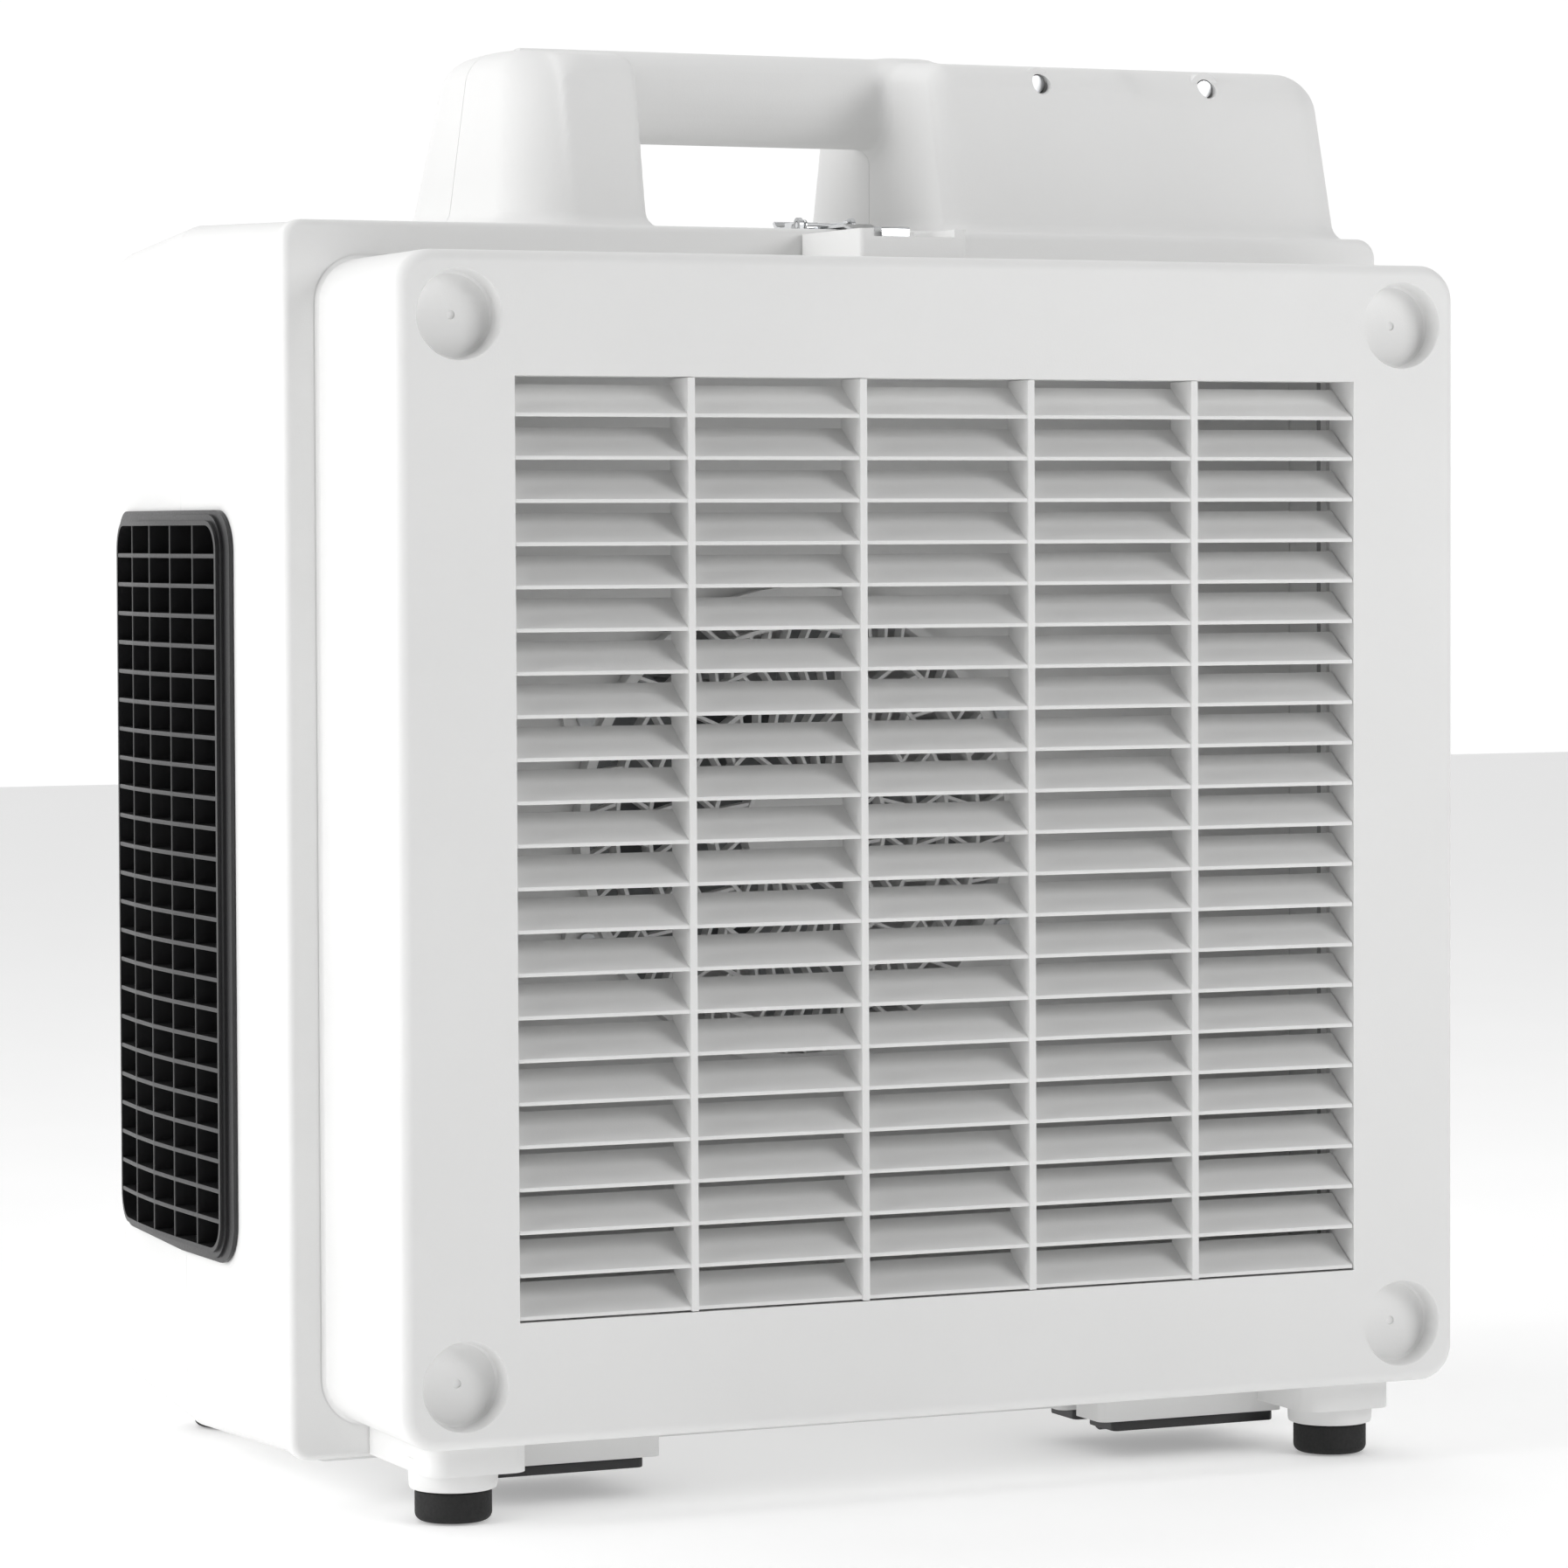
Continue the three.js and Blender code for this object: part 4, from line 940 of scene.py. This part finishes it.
def handle():
    body = surface_net("handle", handle_field, HANDLE_LOW, HANDLE_HIGH, 2.0)
    inner = surface_net("handle_inside", hollow_field, HANDLE_LOW, HANDLE_HIGH, 3.0)
    roof = loft("roof", "y", [
        (place, (-300, 300), (150, roof_height(place) + GAP), 0.01) for place in (70.0, PARTING, 319.0)], 1)
    return cut(body, inner, roof)


def handle_half(whole, name, dropped, boss_span):
    """One half of the handle, with the two screw bosses inside the control box."""
    half = whole.copy()
    half.data = whole.data.copy()
    bpy.context.scene.collection.objects.link(half)
    half.name = name
    half = cut(half, block("dropped", (-400, 400), dropped, (100, 500)))
    bosses = [rod("boss", "y", boss_span, (x, SCREW_Z), 6.6, 32) for x in SCREW_X]
    return unite(half, *bosses)


# The controls sit on the control box's leaning back face. Their pieces are drawn in the panel's own
# frame, where Y points straight out of that face, and on_panel() moves them onto it.
PANEL_LEAN = math.atan((TOWER_FOOT_Y[1] - TOWER_HEAD_Y[1]) / (HANDLE_HEAD_Z - HANDLE_FOOT_Z))
PANEL_Z = 262.0
PANEL_Y = TOWER_FOOT_Y[1] - (PANEL_Z - HANDLE_FOOT_Z) * math.tan(PANEL_LEAN)
KNOB = (186.0, 0.0)
ROCKER = (140.0, 0.0)
BREAKER = (105.0, 8.0)
GLAND = (76.0, -6.0)


def on_panel(obj):
    lean = Matrix.Rotation(PANEL_LEAN, 4, "X")
    to_origin = Matrix.Translation(-casing(0, 0, 0))
    obj.data.transform(Matrix.Translation(casing(0, PANEL_Y, PANEL_Z)) @ lean @ to_origin)
    return obj


def panel_cuts():
    tools = [rod("cut", "y", both(12), centre, radius, 32)
             for centre, radius in ((KNOB, 5.5), (BREAKER, 6.4), (GLAND, 7.4))]
    tools.append(block("cut", (ROCKER[0] - 11.2, ROCKER[0] + 11.2), both(12), both(14.2)))
    return [on_panel(tool) for tool in tools]


whole_handle = handle()
front = handle_half(whole_handle, "handle_front", (HANDLE_SPLIT - GAP / 2, 400), (119.5, HANDLE_SPLIT - 1))
rear = handle_half(whole_handle, "handle_rear", (-100, HANDLE_SPLIT + GAP / 2), (HANDLE_SPLIT + 1, 221.0))
bpy.data.objects.remove(whole_handle)
front = cut(front, *[turned("bore", "y", (x, SCREW_Z), [
    (0, 100.0), (4.6, 100.0), (4.6, 113.8), (4.0, 114.6), (4.0, 124.0), (2.2, 124.0),
    (2.2, 180.0), (0, 180.0)], 40) for x in SCREW_X])
rear = cut(rear, *[rod("bore", "y", (170, 200), (x, SCREW_Z), 2.1, 24) for x in SCREW_X], *panel_cuts())
fit(front, "housing", "case_white", "handle_front_shell", smooth=40)
fit(rear, "housing", "case_white", "handle_rear_shell", smooth=40)


# ------------ controls
def fluted(name, centre, rings, flutes):
    """A body about Y with scalloped sides: rings are (place, radius, depth of the flutes)."""
    sides = flutes * 8

    def ring(place, radius, depth):
        points = []
        for i in range(sides):
            angle = 2 * math.pi * i / sides
            r = radius - depth * (0.5 - 0.5 * math.cos(flutes * angle)) ** 2
            points.append((centre[0] + r * math.cos(angle), place, centre[1] + r * math.sin(angle)))
        return points

    return skin(name, [ring(*values) for values in rings])


def speed_knob():
    skirt = turned("speed_dial", "y", KNOB, [
        (0, 1.0), (17.3, 1.0), (18.0, 1.7), (18.0, 3.0), (16.4, 4.0), (0, 4.0)])
    cap = fluted("cap", KNOB, [(3.8, 15.5, 0.9), (14.6, 14.7, 0.9), (16.2, 14.1, 0.5), (17.0, 12.9, 0.0)], 18)
    pointer = soften(block("pointer", (KNOB[0] - 1.1, KNOB[0] + 1.1), (15.0, 17.9), (1.5, 14.3)), 0.4)
    return on_panel(cut(unite(skirt, cap, pointer), rod("bore", "y", (0, 13.6), KNOB, 3.2, 32)))


def rocker_frame():
    x, z = ROCKER
    bezel = slab("rocker_bezel", "y", (GAP, 2.3), (x - 13, x + 13), (z - 16.5, z + 16.5), 2.5)
    bezel = soften(bezel, 0.7, 3)
    body = block("body", (x - 10.8, x + 10.8), (-18, 1), (z - 13.8, z + 13.8))
    well = slab("well", "y", (-15, 5), (x - 8.8, x + 8.8), (z - 12, z + 12), 1.0)
    return on_panel(cut(unite(bezel, body), well))


def power_rocker():
    """The two-way paddle, hollowed along its length and tilted to its off side."""
    top = [(3.6 + 1.6 * (z / 11.0) ** 2, z) for z in np.linspace(-11.0, 11.0, 15)]
    outline = top + [(3.0, 11.0), (0.0, 5.0), (-4.0, 3.0), (-4.0, -3.0), (0.0, -5.0), (3.0, -11.0)]
    tilt = math.radians(8)
    c, s = math.cos(tilt), math.sin(tilt)
    turned_outline = [(y * c - z * s - 2.0, y * s + z * c) for y, z in outline]
    paddle = prism("rocker_paddle", turned_outline, (ROCKER[0] - 8.4, ROCKER[0] + 8.4))
    return on_panel(soften(paddle, 0.45, 3, 40))


def breaker_collar():
    x, z = BREAKER
    nut = soften(rod("breaker_nut", "y", (GAP, 3.0), BREAKER, 9.0, 6), 0.4)
    collar = turned("collar", "y", BREAKER, [
        (0, -5.0), (6.0, -5.0), (6.0, 3.2), (5.6, 3.5), (6.0, 3.8), (6.0, 4.4), (5.4, 5.0), (0, 5.0)], 40)
    body = block("body", (x - 8, x + 8), (-30, -WALL - 1), (z - 12, z + 8))
    return on_panel(cut(unite(body, collar, nut), rod("bore", "y", (-9, 8), BREAKER, 3.4, 40)))


def breaker_button():
    dome = [(3.0 * math.cos(a), 7.0 + math.sin(a)) for a in np.linspace(0, math.pi / 2, 6)]
    profile = [(0, -5.0), (3.0, -5.0), *dome[:-1], (0, 8.0)]
    return on_panel(turned("reset_button", "y", BREAKER, profile, 40))


def cord_gland():
    nut = soften(rod("cord_inlet", "y", (GAP, 6.0), GLAND, 11.0, 6), 0.6)
    dome = fluted("dome", GLAND, [(5.8, 9.2, 0.5), (12.0, 8.9, 0.5), (15.0, 7.8, 0.3), (17.0, 6.4, 0.0)], 14)
    stem = rod("stem", "y", (-9, 3), GLAND, 7.0, 40)
    lock = rod("lock", "y", (-9, -WALL - 1), GLAND, 9.5, 6)
    return on_panel(cut(unite(nut, dome, stem, lock), rod("bore", "y", (-12, 20), GLAND, 4.0, 32)))


fit(speed_knob(), "speed_knob", "black_plastic", "speed_knob")
fit(rocker_frame(), "housing", "black_plastic", "rocker_frame")
fit(power_rocker(), "power_rocker", "switch_red", "power_rocker")
fit(breaker_collar(), "housing", "black_plastic", "breaker_body")
fit(breaker_button(), "breaker_button", "black_plastic", "breaker_button", smooth=60)
fit(cord_gland(), "housing", "black_plastic", "cord_gland")


# ------------ door hinges
HINGE = (88.0, -238.3)
KNUCKLES = (107.8, 125.8, 143.8, 161.8)
KNUCKLE_R = 5.0
LEAF_X = (100.5, 172.7)
LEAF_Z = (-239.8, -235.9)
LEAF_SCREW_X = (109.0, 164.0)


def hinge_leaf(name, side, knuckles, plate_y):
    """A moulded leaf with rounded edges, its knuckles on the pin's line and two countersunk screws."""
    leaf = soften(slab(name, "z", LEAF_Z, ordered(side * LEAF_X[0], side * LEAF_X[1]), plate_y, 2.5), 0.6)
    in_front = plate_y[0] < HINGE[0]
    web_y = (plate_y[1] - 1, HINGE[0]) if in_front else (HINGE[0], plate_y[0] + 1)
    for k in knuckles:
        start, end = ordered(side * (KNUCKLES[k] + GAP / 2), side * (KNUCKLES[k + 1] - GAP / 2))
        barrel = turned("barrel", "x", HINGE, [
            (0, start), (KNUCKLE_R - 0.6, start), (KNUCKLE_R, start + 0.6), (KNUCKLE_R, end - 0.6),
            (KNUCKLE_R - 0.6, end), (0, end)], 40)
        leaf = unite(leaf, barrel, block("web", (start, end), web_y, LEAF_Z))
    middle = sum(plate_y) / 2
    for x in LEAF_SCREW_X:
        place = (side * x, middle)
        leaf = unite(leaf, turned("screw", "z", place, [
            (0, -238.0), (3.6, -238.0), (3.6, -239.9), (2.6, -240.4), (0, -240.5)], 32))
        slots = [block("slot", (place[0] - a, place[0] + a), (middle - b, middle + b), (-241, -240.0))
                 for a, b in ((2.2, 0.4), (0.4, 2.2))]
        leaf = cut(leaf, *slots)
    return cut(leaf, rod("pin_bore", "x", ordered(side * 99, side * 170), HINGE, 2.3, 24))


for side_name, side in SIDES:
    fit(hinge_leaf(f"door_hinge_leaf_{side_name}", side, (0, 2), (60.0, 82.4)), "door", "black_plastic",
        f"hinge_door_leaf_{side_name}")
    fit(hinge_leaf(f"case_hinge_leaf_{side_name}", side, (1,), (93.6, 116.0)), "housing", "black_plastic",
        f"hinge_case_leaf_{side_name}")


# ------------ draw latch
LATCH_PIVOT = (110.0, 235.6)
HOOK_PIVOT = (119.0, 235.0)
RIVET_Y = (100.0, 137.0)


def latch_base():
    plate = slab("latch_plate", "z", (231.9, 232.6), (-12.2, 12.2), (96.0, 141.0), 2.5)
    for _, s in SIDES:
        ear_x = ordered(s * 10.4, s * 12.2)
        ear = block("ear", ear_x, (LATCH_PIVOT[0] - 3, LATCH_PIVOT[0] + 3), (232.3, LATCH_PIVOT[1]))
        plate = unite(plate, ear, rod("eye", "x", ear_x, LATCH_PIVOT, 3.0, 32))
    holes = [rod("hole", "z", (230, 234), (0, y), 1.8, 24) for y in RIVET_Y]
    return soften(cut(plate, rod("hole", "x", (-14, 14), LATCH_PIVOT, 1.6, 24), *holes), 0.2, 2, 40)


def latch_lever():
    """Two cheeks on the pivot and a finger tab between them that curls up at its end."""
    pivot_y, pivot_z = LATCH_PIVOT
    hook_y, hook_z = HOOK_PIVOT
    tab = prism("latch_handle", [
        (hook_y + 3.4, hook_z - 0.9), (131.0, hook_z - 0.9), (135.0, hook_z - 0.2), (137.6, hook_z + 1.2),
        (138.8, hook_z + 2.8), (137.4, hook_z + 3.4), (136.2, hook_z + 2.2), (134.2, hook_z + 1.2),
        (130.6, hook_z + 0.7), (hook_y + 3.4, hook_z + 0.7)], (-9.6, 9.6))
    for _, s in SIDES:
        cheek = ordered(s * 8.4, s * 9.6)
        tab = unite(tab, block("arm", cheek, (pivot_y, hook_y + 8), (pivot_z - 2.2, pivot_z + 1.6)),
                    rod("nose", "x", cheek, LATCH_PIVOT, 2.2, 32),
                    rod("stub", "x", ordered(s * 8.5, s * 12.2), LATCH_PIVOT, 1.3, 24))
    return soften(cut(tab, rod("hole", "x", (-12, 12), HOOK_PIVOT, 1.5, 24)), 0.25, 2, 40)


def latch_hook():
    """The bent strap from the lever over the case's edge to the keeper on the door."""
    hook_y, hook_z = HOOK_PIVOT
    strap = prism("latch_strap", [
        (hook_y, hook_z - 1.5), (80.0, 233.5), (70.0, 230.9), (46.9, 230.9), (46.6, 230.6), (46.6, 226.6),
        (45.2, 226.6), (45.2, 230.8), (45.6, 231.8), (46.6, 232.2), (70.0, 232.2), (80.0, 234.8),
        (hook_y, hook_z - 0.2)], (-6, 6))
    barrel = rod("barrel", "x", (-6, 6), HOOK_PIVOT, 2.1, 32)
    return soften(cut(unite(strap, barrel), rod("hole", "x", (-8, 8), HOOK_PIVOT, 1.5, 24)), 0.25, 2, 40)


fit(latch_base(), "housing", "zinc_steel", "latch_base")
fit(latch_lever(), "latch_lever", "latch_steel", "latch_lever")
fit(latch_hook(), "latch_hook", "latch_steel", "latch_hook")


# ------------ impeller
BLADES = 5
BLADE_R = (27.0, 87.0)
BLADE_Y = 168.0
BLADE_CHORD = 44.0


def blade_ring(radius, turn):
    """One airfoil section of a blade, pitched less towards the tip and turned about the fan's axis."""
    t = (radius - BLADE_R[0]) / (BLADE_R[1] - BLADE_R[0])
    pitch = math.radians(38 - 20 * t)
    chord = BLADE_CHORD * (0.75 + 0.35 * t)
    thick = 3.6 - 1.8 * t
    points = []
    for k in range(20):
        angle = 2 * math.pi * k / 20
        along = chord / 2 * math.cos(angle)
        camber = 2.5 * (1 - math.cos(angle) ** 2)
        out = camber + thick / 2 * math.sin(angle)
        axial = out * math.cos(pitch) - along * math.sin(pitch)
        sideways = out * math.sin(pitch) + along * math.cos(pitch)
        points.append((radius * math.cos(turn) + sideways * math.sin(turn), BLADE_Y + axial,
                       FAN_Z - radius * math.sin(turn) + sideways * math.cos(turn)))
    return points


def impeller():
    spinner = [(24.0 + 6.0 * math.sin(a), 158.0 - 4.0 * math.cos(a))
               for a in np.linspace(0, math.pi / 2, 6)]
    hub = turned("fan_impeller", "y", (0, FAN_Z), [(5.3, 154.0), *spinner, (30.0, 180.0), (5.3, 180.0)])
    radii = np.linspace(BLADE_R[0], BLADE_R[1], 9)
    blades = [skin("blade", [blade_ring(radius, 2 * math.pi * i / BLADES) for radius in radii])
              for i in range(BLADES)]
    return unite(hub, *blades)


fit(impeller(), "fan_rotor", "fan_plastic", "impeller")


# ------------ stage
BACK_GLOW = Vector((-0.35, 0.93, 0.1)).normalized()


def pale_floor():
    reach = 6.0
    mesh = bpy.data.meshes.new("floor")
    corners = [(-reach, -reach, 0), (reach, -reach, 0), (reach, reach, 0), (-reach, reach, 0)]
    mesh.from_pydata(corners, [], [(0, 1, 2, 3)])
    floor = bpy.data.objects.new("floor", mesh)
    bpy.context.scene.collection.objects.link(floor)
    floor.location.z = -0.0005
    material = grained("pale_floor", (0.86, 0.86, 0.86), (0.88, 0.88, 0.88), (0.7, 0.8), 200, 0.02)
    surface = next(node for node in material.node_tree.nodes if node.type == "BSDF_PRINCIPLED")
    surface.inputs["Emission Color"].default_value = (1.0, 1.0, 1.0, 1.0)
    surface.inputs["Emission Strength"].default_value = 0.3
    floor.data.materials.append(material)


def studio_sky():
    """A white studio whose wall behind the unit is much brighter than the one in front of it."""
    world = bpy.data.worlds.new("studio")
    bpy.context.scene.world = world
    world.use_nodes = True
    tree = world.node_tree
    sky = tree.nodes["Background"]
    sky.inputs["Color"].default_value = (1.0, 1.0, 1.0, 1.0)
    where = tree.nodes.new("ShaderNodeTexCoord")
    towards = tree.nodes.new("ShaderNodeVectorMath")
    towards.operation = "DOT_PRODUCT"
    towards.inputs[1].default_value = BACK_GLOW
    level = tree.nodes.new("ShaderNodeMapRange")
    level.interpolation_type = "SMOOTHSTEP"
    level.inputs["From Min"].default_value = -0.3
    level.inputs["From Max"].default_value = 0.7
    level.inputs["To Min"].default_value = 0.1
    level.inputs["To Max"].default_value = 1.03
    tree.links.new(where.outputs["Generated"], towards.inputs[0])
    tree.links.new(towards.outputs["Value"], level.inputs["Value"])
    tree.links.new(level.outputs["Result"], sky.inputs["Strength"])


def softbox(name, place, size, power):
    data = bpy.data.lights.new(name, "AREA")
    data.shape = "RECTANGLE"
    data.size, data.size_y = size
    data.energy = power
    lamp = bpy.data.objects.new(name, data)
    bpy.context.scene.collection.objects.link(lamp)
    lamp.location = place
    middle = Vector((0.0, 0.0, 0.28))
    lamp.rotation_euler = (middle - Vector(place)).to_track_quat("-Z", "Y").to_euler()


def studio():
    bpy.context.scene.view_settings.view_transform = "Standard"
    pale_floor()
    studio_sky()
    softbox("left_box", (-2.4, -0.2, 1.0), (1.2, 1.4), 24)
    softbox("fill_box", (1.3, -1.9, 1.2), (1.0, 1.0), 19)
    softbox("top_box", (0.1, -0.3, 2.6), (2.0, 2.0), 12)


studio()
